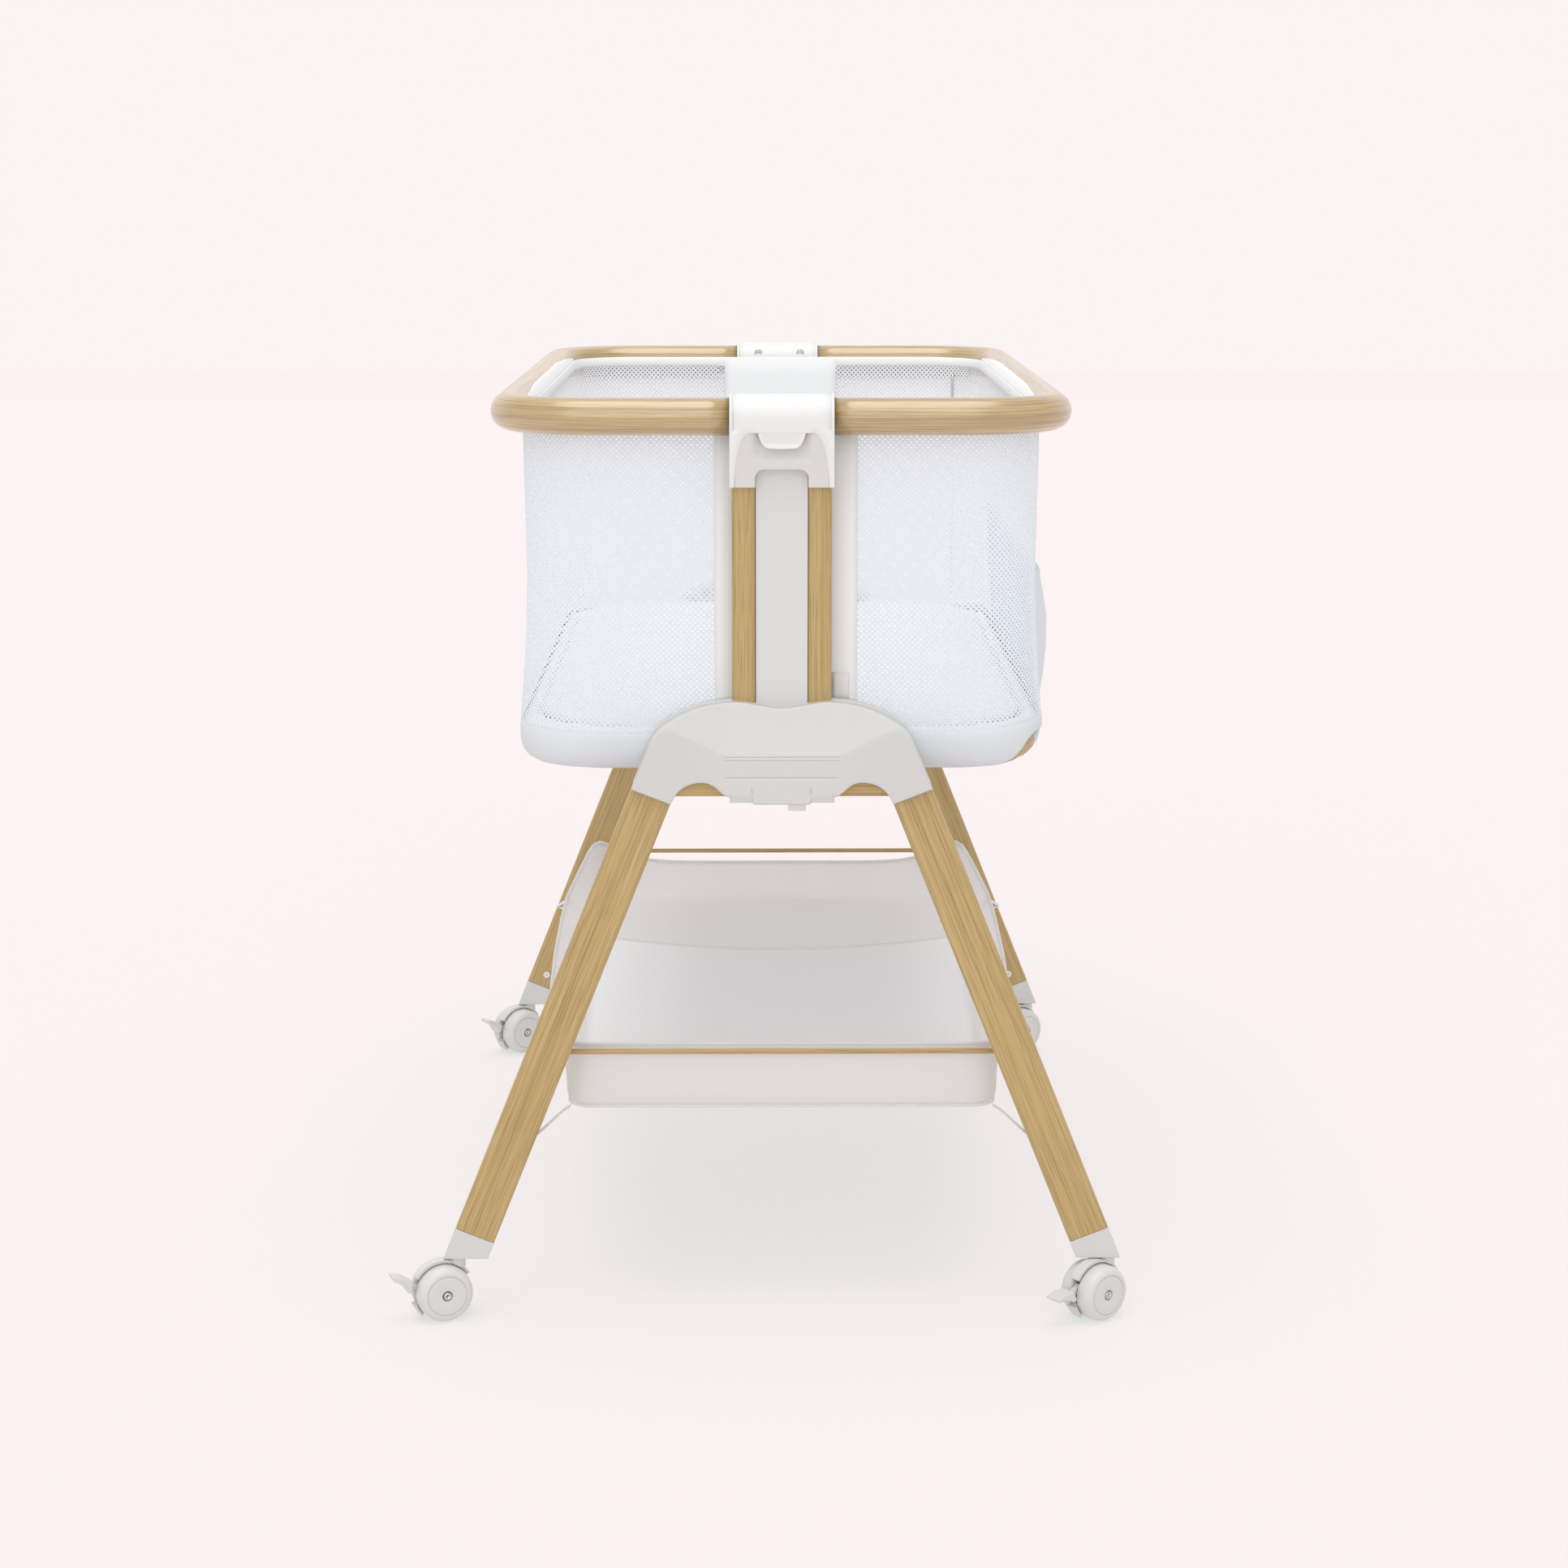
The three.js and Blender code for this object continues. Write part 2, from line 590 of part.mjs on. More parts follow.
/** The basket's rim height at a place along and across it: straight at the ends, sagging at the sides. */
function basketRim(y) {
  const along = y / BASKET.halfLength
  const straight = lerp(BASKET_RIM.front, BASKET_RIM.rear, (along + 1) / 2)
  return straight - BASKET_RIM.sag * (1 - along * along)
}

/** A ring of the basket; share is 0 at the floor and 1 at the rim, inset moves it inwards. */
function basketRing(share, inset) {
  const { halfWidth, halfLength, corner, bottom, wall, bulge, rearBow } = BASKET
  const ring = levelRing(halfWidth - inset, halfLength - inset, corner, 0)
  for (const point of ring) {
    const along = point.y / halfLength
    const atSide = Math.min(1, Math.abs(point.x) / (halfWidth - corner))
    const out = bulge * (1 - along * along) + rearBow * Math.max(0, along) * share
    point.x += Math.sign(point.x) * out * atSide
    point.z = lerp(bottom + (inset > 0 ? wall : 0), basketRim(point.y), share)
  }
  return ring
}

/** The storage basket: a fabric trough hung between the two A-frames. */
function basket() {
  const { bottom, wall } = BASKET
  const shares = [0, 0.5, 1]
  const outside = shares.map((share) => basketRing(share, 0))
  const inside = shares.map((share) => basketRing(share, wall)).reverse()
  const first = new THREE.Vector3(0, 0, bottom)
  const last = new THREE.Vector3(0, 0, bottom + wall)
  return ringSkin([...outside, ...inside], first, last)
}

// ---------------------------------------------------------------- the whole part

const model = new THREE.Group()
const rearStand = standEnd('rear', 'right', 'left')
const rearBassinet = bassinetEnd('rear', 'right', 'left')
rearStand.rotation.z = Math.PI
rearBassinet.rotation.z = Math.PI
model.add(standEnd('front', 'left', 'right'), rearStand)
model.add(bassinetEnd('front', 'left', 'right'), rearBassinet)
model.add(...CASTERS.map(caster))
model.add(
  piece('basket', basket(), plainFabric),
  piece('rail_left', railHalf(-1), wood),
  piece('rail_right', railHalf(1), wood),
  piece('base_tube', baseTube(), wood),
  piece('base_board', padSlab(BOARD), hardboard),
  piece('mattress', padSlab(MATTRESS), quilt),
  piece('fabric_body', tub(), meshFabric),
  piece('side_pocket', sidePocket(), plainFabric),
)

// The origin is on the floor under the middle of the part's box, which the swivelled castors widen unevenly.
const extent = new THREE.Box3().setFromObject(model)
const middle = extent.getCenter(new THREE.Vector3())
model.position.set(-middle.x, -middle.y, 0)

const group = new THREE.Group()
group.add(model)

export default group
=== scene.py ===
"""A bassinet on a wheeled stand: looks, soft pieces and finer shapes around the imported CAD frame.

Sizes are in millimetres about the middle of the bassinet. at() turns them into the row frame, in metres.
"""
import math

import bmesh
import bpy
import numpy as np
from mathutils import Matrix, Vector, noise
from mathutils.geometry import delaunay_2d_cdt


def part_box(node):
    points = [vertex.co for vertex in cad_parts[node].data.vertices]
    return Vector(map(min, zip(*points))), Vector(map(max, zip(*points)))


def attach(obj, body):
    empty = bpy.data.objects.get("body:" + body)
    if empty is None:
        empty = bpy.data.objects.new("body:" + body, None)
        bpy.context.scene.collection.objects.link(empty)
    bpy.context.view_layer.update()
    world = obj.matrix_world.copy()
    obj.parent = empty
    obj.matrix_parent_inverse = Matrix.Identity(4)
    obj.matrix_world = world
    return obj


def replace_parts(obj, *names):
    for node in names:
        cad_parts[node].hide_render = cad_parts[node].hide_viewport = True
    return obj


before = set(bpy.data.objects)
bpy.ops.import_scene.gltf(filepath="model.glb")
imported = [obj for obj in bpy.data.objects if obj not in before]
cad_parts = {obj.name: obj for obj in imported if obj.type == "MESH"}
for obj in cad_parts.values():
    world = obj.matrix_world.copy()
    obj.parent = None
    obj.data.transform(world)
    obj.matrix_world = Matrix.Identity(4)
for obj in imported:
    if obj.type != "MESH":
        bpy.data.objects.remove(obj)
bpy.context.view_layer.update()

# ---------------------------------------------------------------- sizes

MM = 0.001
MATTRESS_LOW, MATTRESS_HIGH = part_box("mattress")
MIDDLE = (MATTRESS_LOW + MATTRESS_HIGH) / 2

RAIL = {"half_width": 256, "half_length": 446, "corner": 85, "radius": 17.3, "z": 857.5, "cap_half": 48.2}

# The body's outside: height, half width, half length, corner radius.
WALL_LEVELS = [
    (862, 237.4, 423.6, 70), (846, 238.4, 424.4, 70), (838, 244, 427, 75), (800, 243.4, 430.5, 75),
    (760, 242.4, 432.8, 75), (700, 241.5, 434, 75), (650, 243.4, 434, 75), (600, 246.5, 434, 75),
    (580, 248.6, 434, 75), (556, 249.8, 434, 75),
]
BAND_LEVELS = [
    (0, 248.2, 433.3, 75), (0.06, 249.4, 434.2, 75.5), (0.2, 250.2, 434.6, 76), (0.5, 249.8, 433.8, 75),
    (0.7, 247.8, 431.2, 73), (0.85, 243.6, 427, 70), (0.95, 237.8, 420.4, 66), (1, 229, 411, 60),
]
BAND_BOTTOM = 524.6
FLOOR_LEVELS = [(BAND_BOTTOM, 229, 411, 66), (524.5, 214, 398, 60), (524, 120, 300, 40), (523.8, 20, 180, 10)]
STRIP = {"left": -62.4, "right": 70.1, "low": 560, "lining_low": 571, "high": 861}
# The lining's distance from the middle, by height.
LINING = [(571, 432.9), (700, 432.9), (760, 431.7), (800, 429.4), (862, 421.7)]

# How far up the inside of the rail the sleeves come, in degrees, by distance along the long side.
SLEEVE_TOP = [(-361, 23), (-335, 36), (-200, 50), (0, 52), (150, 52), (250, 42), (330, 29), (361, 23)]

# Each leg's caster: the signs of its place in X and Y, and the angle it is turned to, in degrees.
CASTERS = {
    "front_left": (-1, -1, 22),
    "front_right": (1, -1, 38),
    "rear_left": (-1, 1, 38),
    "rear_right": (1, 1, 38),
}
SWIVEL_STEM = {"x": 311, "y": 465}
CASTER_TRAIL = 16
WHEEL_RADIUS = 27
WEBBING_WIDTH = 10

LEG_ANGLE = math.radians(21.9)


def at(x, y, z):
    """A point in the row frame, in metres."""
    return Vector((MIDDLE.x + x * MM, MIDDLE.y + y * MM, z * MM))


# ---------------------------------------------------------------- materials

class Nodes:
    """Builds a material. add() makes a node, and sets its inputs or links them to other nodes and sockets."""

    def __init__(self, name):
        self.material = bpy.data.materials.new(name)
        self.material.use_nodes = True
        self.nodes = self.material.node_tree.nodes
        self.links = self.material.node_tree.links
        self.nodes.clear()

    def add(self, kind, *inputs, **settings):
        node = self.nodes.new("ShaderNode" + kind)
        for key, value in [*settings.items(), *enumerate(inputs)]:
            if isinstance(key, str) and key not in node.inputs:
                setattr(node, key, value)
            elif isinstance(value, bpy.types.Node):
                self.links.new(value.outputs[0], node.inputs[key])
            elif isinstance(value, bpy.types.NodeSocket):
                self.links.new(value, node.inputs[key])
            else:
                node.inputs[key].default_value = value
        return node

    def ramp(self, source, low, dark, high, light):
        """Colours from dark to light between two values of source."""
        node = self.add("ValToRGB", Fac=source)
        for stop, place, color in zip(node.color_ramp.elements, (low, high), (dark, light)):
            stop.position = place
            stop.color = (*color, 1)
        return node

    def finish(self, shader):
        self.add("OutputMaterial", Surface=shader)
        return self.material


def plastic(name, color, roughness=0.42, edge=0.8):
    """Satin plastic with softened edges and a faint moulded texture."""
    nodes = Nodes(name)
    grain = nodes.add("TexNoise", Vector=nodes.add("TexCoord").outputs["Object"], Scale=900, Detail=2)
    bevel = nodes.add("Bevel", Radius=edge * MM, samples=6)
    bump = nodes.add("Bump", Strength=0.04, Distance=0.0002, Height=grain, Normal=bevel)
    look = {"Base Color": (*color, 1), "Roughness": roughness, "Normal": bump}
    return nodes.finish(nodes.add("BsdfPrincipled", **look))


def metal(name, color, roughness):
    nodes = Nodes(name)
    look = {"Base Color": (*color, 1), "Metallic": 1, "Roughness": roughness}
    return nodes.finish(nodes.add("BsdfPrincipled", **look))


def wood(name, light, dark, turn=0.0, attribute=None, along="Z", coat=0.0):
    """Oiled light wood. The grain runs along one axis of the coordinates, turned about Y first."""
    nodes = Nodes(name)
    if attribute:
        source = nodes.add("Attribute", attribute_name=attribute).outputs["Vector"]
    else:
        source = nodes.add("TexCoord").outputs["Object"]
    turned = nodes.add("Mapping", Vector=source, Rotation=(0, turn, 0))

    def streaks(across, lengthways, detail, offset):
        scale = [across] * 3
        scale["XYZ".index(along)] = lengthways
        place = nodes.add("Mapping", Vector=turned, Scale=scale, Location=[offset] * 3)
        return nodes.add("TexNoise", Vector=place, Scale=1, Detail=detail, Roughness=0.6, Distortion=0.1)

    broad = streaks(120, 1.3, 2, 3)
    figure = streaks(500, 3.2, 3, 11)
    pores = streaks(1500, 18, 2, 29)
    faint = nodes.add("Math", broad, 0.3, operation="MULTIPLY")
    mixed = nodes.add("Math", figure, 0.7, faint, operation="MULTIPLY_ADD")
    color = nodes.ramp(mixed, 0.36, dark, 0.62, light)
    pits = nodes.ramp(pores, 0.36, (0.72, 0.68, 0.6), 0.5, (1, 1, 1))
    tint = nodes.add("Mix", data_type="RGBA", blend_type="MULTIPLY", Factor=1, A=color, B=pits)
    bevel = nodes.add("Bevel", Radius=0.8 * MM, samples=6)
    bump = nodes.add("Bump", Strength=0.12, Distance=0.0003, Height=pores, Normal=bevel)
    look = {"Base Color": tint.outputs["Result"], "Roughness": 0.38, "Normal": bump}
    shine = {"Coat Weight": coat, "Coat Roughness": 0.22, "Coat IOR": 1.8}
    return nodes.finish(nodes.add("BsdfPrincipled", **look, **shine))


def cloth(name, color, see_through=0.2, weave=1400):
    """Plain woven cloth that lets some light through."""
    nodes = Nodes(name)
    threads = nodes.add("TexNoise", Vector=nodes.add("TexCoord").outputs["Object"], Scale=weave, Detail=1)
    bump = nodes.add("Bump", Strength=0.15, Distance=0.0002, Height=threads)
    look = {"Base Color": (*color, 1), "Roughness": 0.9, "Normal": bump}
    front = nodes.add("BsdfPrincipled", **look)
    back = nodes.add("BsdfTranslucent", Color=(*color, 1))
    return nodes.finish(nodes.add("MixShader", see_through, front, back))


def net(name, color, pitch=3.7, hole=0.95, behind=None):
    """Knitted mesh: cloth with a diagonal lattice of round holes, drawn from the UV map, which is in metres.
    The holes are open, or where behind is a colour they are filled with it: painted shade, standing in for
    the shaded parts seen through them."""
    nodes = Nodes(name)
    uv = nodes.add("TexCoord").outputs["UV"]
    diagonal = (0, 0, math.radians(45))
    lattice = nodes.add("Mapping", Vector=uv, Rotation=diagonal, Scale=[1 / (pitch * MM)] * 3)
    cell = nodes.add("VectorMath", lattice, operation="FRACTION")
    centred = nodes.add("VectorMath", cell, (0.5, 0.5, 0), operation="SUBTRACT")
    flat = nodes.add("VectorMath", centred, (1, 1, 0), operation="MULTIPLY")
    distance = nodes.add("VectorMath", flat, operation="LENGTH").outputs["Value"]
    solid = nodes.add("Math", distance, hole / pitch, operation="GREATER_THAN")
    front = nodes.add("BsdfDiffuse", Color=(*color, 1))
    back = nodes.add("BsdfTranslucent", Color=(*color, 1))
    threads = nodes.add("MixShader", 0.45, front, back)
    # Where behind is given, the holes show a flat painted shade instead of a real layer behind them.
    opening = nodes.add("BsdfDiffuse", Color=(*behind, 1)) if behind else nodes.add("BsdfTransparent")
    return nodes.finish(nodes.add("MixShader", solid, opening, threads))


def glowing(name, color, matte=None):
    """A surface that shines with one colour and, where matte is given, takes shadows in the other."""
    nodes = Nodes(name)
    surface = nodes.add("Emission", Color=(*color, 1), Strength=1)
    if matte:
        surface = nodes.add("AddShader", surface, nodes.add("BsdfDiffuse", Color=(*matte, 1)))
    return nodes.finish(surface)


OAK_LIGHT, OAK_DARK = (0.56, 0.405, 0.18), (0.44, 0.305, 0.12)
RAIL_LIGHT, RAIL_DARK = (0.585, 0.425, 0.2), (0.37, 0.248, 0.093)
WHITE = plastic("white_plastic", (0.625, 0.63, 0.62))
PANEL_WHITE = plastic("panel_plastic", (0.675, 0.685, 0.675))
CAP_WHITE = plastic("cap_plastic", (0.79, 0.80, 0.795))
GREY = plastic("grey_plastic", (0.665, 0.655, 0.64))
CASTER_WHITE = plastic("caster_plastic", (0.655, 0.655, 0.64), 0.35, 0.6)
STEEL = metal("steel", (0.62, 0.63, 0.64), 0.28)
OAK_LEFT = wood("oak_left", OAK_LIGHT, OAK_DARK, -LEG_ANGLE)
OAK_RIGHT = wood("oak_right", OAK_LIGHT, OAK_DARK, LEG_ANGLE)
OAK_UPRIGHT = wood("oak_upright", OAK_LIGHT, OAK_DARK)
OAK_ACROSS = wood("oak_across", OAK_LIGHT, OAK_DARK, along="X")
OAK_RAIL = wood("oak_rail", RAIL_LIGHT, RAIL_DARK, attribute="grain", along="X", coat=1.0)
BOARD = wood("hardboard", (0.5, 0.36, 0.2), (0.42, 0.29, 0.15), along="Y")
MESH = net("mesh_fabric", (0.875, 0.92, 0.97))
# The tape's holes are painted dark: painted shade standing in for the shaded rail seen through them.
SHADE_PAINTED_TAPE = net("perforated_tape_painted_shade", (0.97, 0.975, 0.98), behind=(0.2, 0.19, 0.23))
FABRIC = cloth("plain_fabric", (0.85, 0.89, 0.92), 0.2)
HEM = cloth("hem_fabric", (0.985, 0.99, 0.985), 0.1)
BASKET_FABRIC = cloth("basket_fabric", (0.915, 0.91, 0.905), 0.6)
DENSE_FABRIC = cloth("dense_fabric", (0.955, 0.97, 0.96), 0.15)
PAD_FABRIC = cloth("pad_fabric", (0.97, 0.965, 0.96), 0.05)
QUILT = cloth("quilt", (0.95, 0.97, 0.975), 0.15)
WEBBING = cloth("webbing", (0.82, 0.82, 0.81), 0.05, 700)


def paint(material, *names):
    for name in names:
        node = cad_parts[name]
        node.data.materials.clear()
        node.data.materials.append(material)


def paint_frame():
    """The CAD nodes that stay, in their own materials."""
    for end in ("front", "rear"):
        paint(PANEL_WHITE, f"centre_panel_{end}")
        paint(GREY, f"lock_tab_{end}")
        paint(OAK_ACROSS, f"crossbar_{end}", f"basket_rod_{end}")
        for side, oak in (("left", OAK_LEFT), ("right", OAK_RIGHT)):
            paint(oak, f"leg_{end}_{side}")
            paint(OAK_UPRIGHT, f"post_{end}_{side}")
            paint(WHITE, f"foot_socket_{end}_{side}")
            paint(CASTER_WHITE, f"caster_housing_{end}_{side}", f"brake_pedal_{end}_{side}")
            paint(CASTER_WHITE, f"wheel_outer_{end}_{side}", f"wheel_inner_{end}_{side}")
            paint(STEEL, f"axle_{end}_{side}")
    paint(BOARD, "base_board")
    paint(OAK_ACROSS, "base_tube")


# ---------------------------------------------------------------- shape helpers

def new_mesh(name, vertices, faces):
    mesh = bpy.data.meshes.new(name)
    mesh.from_pydata(vertices, [], faces)
    mesh.update()
    return mesh


def make_piece(mesh, material, body, smooth=True):
    """A piece with the mesh's name, on one body and in one slot."""
    piece = bpy.data.objects.new(mesh.name, mesh)
    bpy.context.scene.collection.objects.link(piece)
    if material:
        mesh.materials.append(material)
    for polygon in mesh.polygons:
        polygon.use_smooth = smooth
    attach(piece, body)
    return piece


def between(table, value):
    """A value read between the rows of a table."""
    return float(np.interp(value, [row[0] for row in table], [row[1] for row in table]))


def lengths_along(points):
    """The distance along a line of points to each of them."""
    lengths = [0.0]
    for a, b in zip(points, points[1:]):
        lengths.append(lengths[-1] + (Vector(b) - Vector(a)).length)
    return lengths


def grid_mesh(name, rows, closed=False, skip=None):
    """Quads through rows of points, in millimetres, with a UV map in metres.
    skip(row, column) leaves one out."""
    count = len(rows[0])
    spans = count if closed else count - 1
    vertices = [at(*point) for row in rows for point in row]
    faces, uvs = [], []
    across = lengths_along([row[count // 3] for row in rows])
    looped = [list(row) + [row[0]] for row in rows] if closed else rows
    along = lengths_along(looped[len(rows) // 2])
    for i in range(len(rows) - 1):
        for j in range(spans):
            if skip and skip(i, j):
                continue
            k = (j + 1) % count
            faces.append((i * count + j, i * count + k, (i + 1) * count + k, (i + 1) * count + j))
            u0, u1, v0, v1 = along[j] * MM, along[j + 1] * MM, across[i] * MM, across[i + 1] * MM
            uvs += [(u0, v0), (u1, v0), (u1, v1), (u0, v1)]
    mesh = new_mesh(name, vertices, faces)
    layer = mesh.uv_layers.new(name="cloth")
    for loop, uv in zip(layer.data, uvs):
        loop.uv = uv
    return mesh


def thicken(piece, thickness, offset=0.0):
    modifier = piece.modifiers.new("thickness", "SOLIDIFY")
    modifier.thickness = thickness * MM
    modifier.offset = offset


def cloth_piece(name, rows, material, thickness=0.6, offset=0.0, closed=False,
                body="bassinet"):
    """A sheet of cloth through rows of points, with a thickness in millimetres."""
    piece = make_piece(grid_mesh(name, rows, closed), material, body)
    thicken(piece, thickness, offset)
    return piece


def close_hole(mesh, reach):
    """Fills the open edge of a mesh that lies within reach millimetres of the bassinet's middle."""
    work = bmesh.new()
    work.from_mesh(mesh)
    edges = [
        edge for edge in work.edges
        if edge.is_boundary and (edge.verts[0].co - MIDDLE).xy.length < reach * MM
    ]
    bmesh.ops.holes_fill(work, edges=edges, sides=0)
    work.to_mesh(mesh)
    work.free()


def rounded_ring(half_width, half_length, corner, corner_steps=14, side_steps=(24, 44)):
    """Points round a rounded rectangle, counter-clockwise from the middle of the front side."""
    x, y = half_width - corner, half_length - corner
    across, along = side_steps
    points = [(x * i / (across / 2), -half_length) for i in range(across // 2)]
    centres = [(x, -y, -90), (x, y, 0), (-x, y, 90), (-x, -y, 180)]
    sides = [
        [(half_width, -y + 2 * y * i / along) for i in range(1, along)],
        [(x - 2 * x * i / across, half_length) for i in range(1, across)],
        [(-half_width, y - 2 * y * i / along) for i in range(1, along)],
        [(-x + x * i / (across / 2), -half_length) for i in range(1, across // 2)],
    ]
    for (cx, cy, start), side in zip(centres, sides):
        for i in range(corner_steps + 1):
            angle = math.radians(start + 90 * i / corner_steps)
            points.append((cx + corner * math.cos(angle), cy + corner * math.sin(angle)))
        points += side
    return points


def tube_mesh(name, points, radius, sides, closed=False):
    """A round tube along points, in millimetres. Its 'grain' attribute is the distance along it and the two
    across it, in metres."""
    path = [Vector(point) for point in points]
    count = len(path)
    vertices, grain, faces = [], [], []
    travelled = lengths_along(points)
    side_way = None
    for i, point in enumerate(path):
        before = path[i - 1] if closed or i > 0 else path[i]
        after = path[(i + 1) % count] if closed or i < count - 1 else path[i]
        way = (after - before).normalized()
        guess = side_way or (Vector((0, 0, 1)) if abs(way.z) < 0.9 else Vector((1, 0, 0)))
        side_way = (guess - way * guess.dot(way)).normalized()
        up = way.cross(side_way)
        for k in range(sides):
            angle = 2 * math.pi * k / sides
            a, b = radius * math.cos(angle), radius * math.sin(angle)
            vertices.append(at(*(point + side_way * a + up * b)))
            grain.append((travelled[i] * MM, a * MM, b * MM))
    for i in range(count if closed else count - 1):
        j = (i + 1) % count
        for k in range(sides):
            m = (k + 1) % sides
            faces.append((i * sides + k, i * sides + m, j * sides + m, j * sides + k))
    if not closed:
        faces.append(tuple(reversed(range(sides))))
        faces.append(tuple((count - 1) * sides + k for k in range(sides)))
    mesh = new_mesh(name, vertices, faces)
    attribute = mesh.attributes.new("grain", "FLOAT_VECTOR", "POINT")
    for item, value in zip(attribute.data, grain):
        item.vector = value
    return mesh


def piping(name, points, radius, material, body, closed=False):
    """A thin round cord of cloth along points."""
    make_piece(tube_mesh(name, points, radius, 8, closed), material, body)


def arc(cx, cy, z, radius, start, end, spans):
    angles = [math.radians(start + (end - start) * i / spans) for i in range(spans + 1)]
    return [(cx + radius * math.cos(a), cy + radius * math.sin(a), z) for a in angles]


def lathe_mesh(name, profile, place, turns=64):
    """A closed profile of (radius, along), turned about the local Y axis and put there by place(x, y, z)."""
    vertices, faces = [], []
    count = len(profile)
    for i in range(turns):
        angle = 2 * math.pi * i / turns
        for radius, along in profile:
            vertices.append(at(*place(radius * math.cos(angle), along, radius * math.sin(angle))))
    for i in range(turns):
        j = (i + 1) % turns
        for k in range(count):
            m = (k + 1) % count
            faces.append((i * count + k, i * count + m, j * count + m, j * count + k))
    return new_mesh(name, vertices, faces)


def outward(piece):
    """Joins points that coincide, and makes the faces of a closed piece look outwards."""
    work = bmesh.new()
    work.from_mesh(piece.data)
    bmesh.ops.remove_doubles(work, verts=work.verts, dist=1e-6)
    bmesh.ops.recalc_face_normals(work, faces=work.faces)
    work.to_mesh(piece.data)
    work.free()
    return piece


def cover(mesh, material, body, slot, *nodes):
    """A closed piece that is shown instead of CAD nodes."""
    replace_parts(outward(make_piece(mesh, material, body)), *nodes)


def at_end(end, x, y, z):
    """A point drawn at the front end, moved to either end."""
    return (x, y, z) if end == "front" else (-x, -y, z)


# ---------------------------------------------------------------- rails

def rail(side):
    """One half of the rail, with the grain following the bend."""
    x, y = RAIL["half_width"] - RAIL["corner"], RAIL["half_length"] - RAIL["corner"]
    z, corner, start = RAIL["z"], RAIL["corner"], RAIL["cap_half"]
    straight = [(start + (x - start) * i / 6, -RAIL["half_length"], z) for i in range(6)]
    along = [(RAIL["half_width"], -y + 2 * y * i / 24, z) for i in range(1, 24)]
    back = [(x - (x - start) * i / 6, RAIL["half_length"], z) for i in range(1, 7)]
    points = straight + arc(x, -y, z, corner, -90, 0, 24) + along + arc(x, y, z, corner, 0, 90, 24) + back
    points = [(side * px, py, pz) for px, py, pz in points]
    name = "left" if side < 0 else "right"
    mesh = tube_mesh(f"rail_{name}_fine", points, RAIL["radius"], 40)
    cover(mesh, OAK_RAIL, "bassinet", "rail_wood", f"rail_{name}")


# ---------------------------------------------------------------- fabric body

def soften(x, y, z, size, amount):
    """A slow unevenness of cloth, the same at the same place."""
    return amount * noise.noise(Vector((x, y, z)) / size)


def band_top(x, y):
    """The height of the lower band's top edge, which rises towards the corners, more on the right."""
    return 561 + (11 if x > 0 else 4) * min(1, abs(x) / 245) ** 4


def rings(levels):
    """Rows of points round rounded rectangles, given as height, half width, half length and corner radius."""
    return [[(x, y, z) for x, y in rounded_ring(*outline)] for z, *outline in levels]


def mesh_wall():
    rows = rings(WALL_LEVELS)
    mesh = grid_mesh("mesh_wall", rows, closed=True)
    piece = make_piece(mesh, MESH, "bassinet")
    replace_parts(piece, "fabric_body")


def bare_corner(x, y):
    """The share of the band that is drawn up at the front right corner, where the base tube is bare."""
    _, half_width, half_length, corner = BAND_LEVELS[0]
    if x < 170 or y > -340:
        return 0.0
    angle = math.degrees(math.atan2(y + half_length - corner, x - half_width + corner))
    return between([(-56, 0), (-48, 0.3), (-38, 0.62), (-26, 0.74), (0, 0.74), (10, 0)], angle)


def lower_band():
    """The solid band from the mesh round the base tube to the underside."""
    levels = [(level[0], rounded_ring(*level[1:])) for level in BAND_LEVELS]
    rows = []
    for share, ring in levels:
        row = []
        for i, (x, y) in enumerate(ring):
            kept = share * (1 - bare_corner(*levels[0][1][i]))
            px = between([(level, points[i][0]) for level, points in levels], kept)
            py = between([(level, points[i][1]) for level, points in levels], kept)
            top = band_top(x, y)
            row.append((px, py, top + (BAND_BOTTOM - top) * kept))
        rows.append(row)
    cloth_piece("lower_band", rows, FABRIC, closed=True)


def floor_panel():
    """The cloth under the bassinet, in one piece from side to side."""
    mesh = grid_mesh("floor_panel", rings(FLOOR_LEVELS), closed=True)
    close_hole(mesh, FLOOR_LEVELS[-1][2] + 10)
    piece = make_piece(mesh, FABRIC, "bassinet")
    thicken(piece, 0.8, -1)


def inner_gusset():
    """The lining between the wall and the mattress, all round."""
    rows = rings([
        (560.5, 248.2, 432.8, 74.5), (563, 243, 428, 85), (565, 237.6, 423, 101), (562.8, 236.1, 421.5, 102),
        (559.9, 233.5, 419, 101), (559.1, 229, 414.5, 99),
    ])
    cloth_piece("inner_gusset", rows, HEM, closed=True)


def top_hem():
    """The solid hem inside the rail that the mesh is sewn to."""
    rows = rings([(862.5, 236.6, 423.2, 69), (862, 236, 422.6, 69), (852, 236.2, 422.9, 69)])
    cloth_piece("top_hem", rows, HEM, 0.8, -1, closed=True)


def side_sleeve(side):
    """The fabric that wraps over the inner side of a long rail. It comes furthest up half way along."""
    reach, spans, turns = RAIL["half_length"] - RAIL["corner"], 60, 5
    radius, first = RAIL["radius"] + 0.45, 22
    lines = [-reach + 2 * reach * i / spans for i in range(spans + 1)]
    rows = [[(side * 236.9, y, 861.8) for y in lines]]
    for i in range(turns + 1):
        row = []
        for y in lines:
            angle = math.radians(first + (between(SLEEVE_TOP, y) - first) * i / turns)
            across, up = radius * math.cos(angle), radius * math.sin(angle)
            row.append((side * (RAIL["half_width"] - across), y, RAIL["z"] + up))
        rows.append(row)
    name = "left" if side < 0 else "right"
    cloth_piece(f"rail_sleeve_{name}", rows, HEM, 0.5)


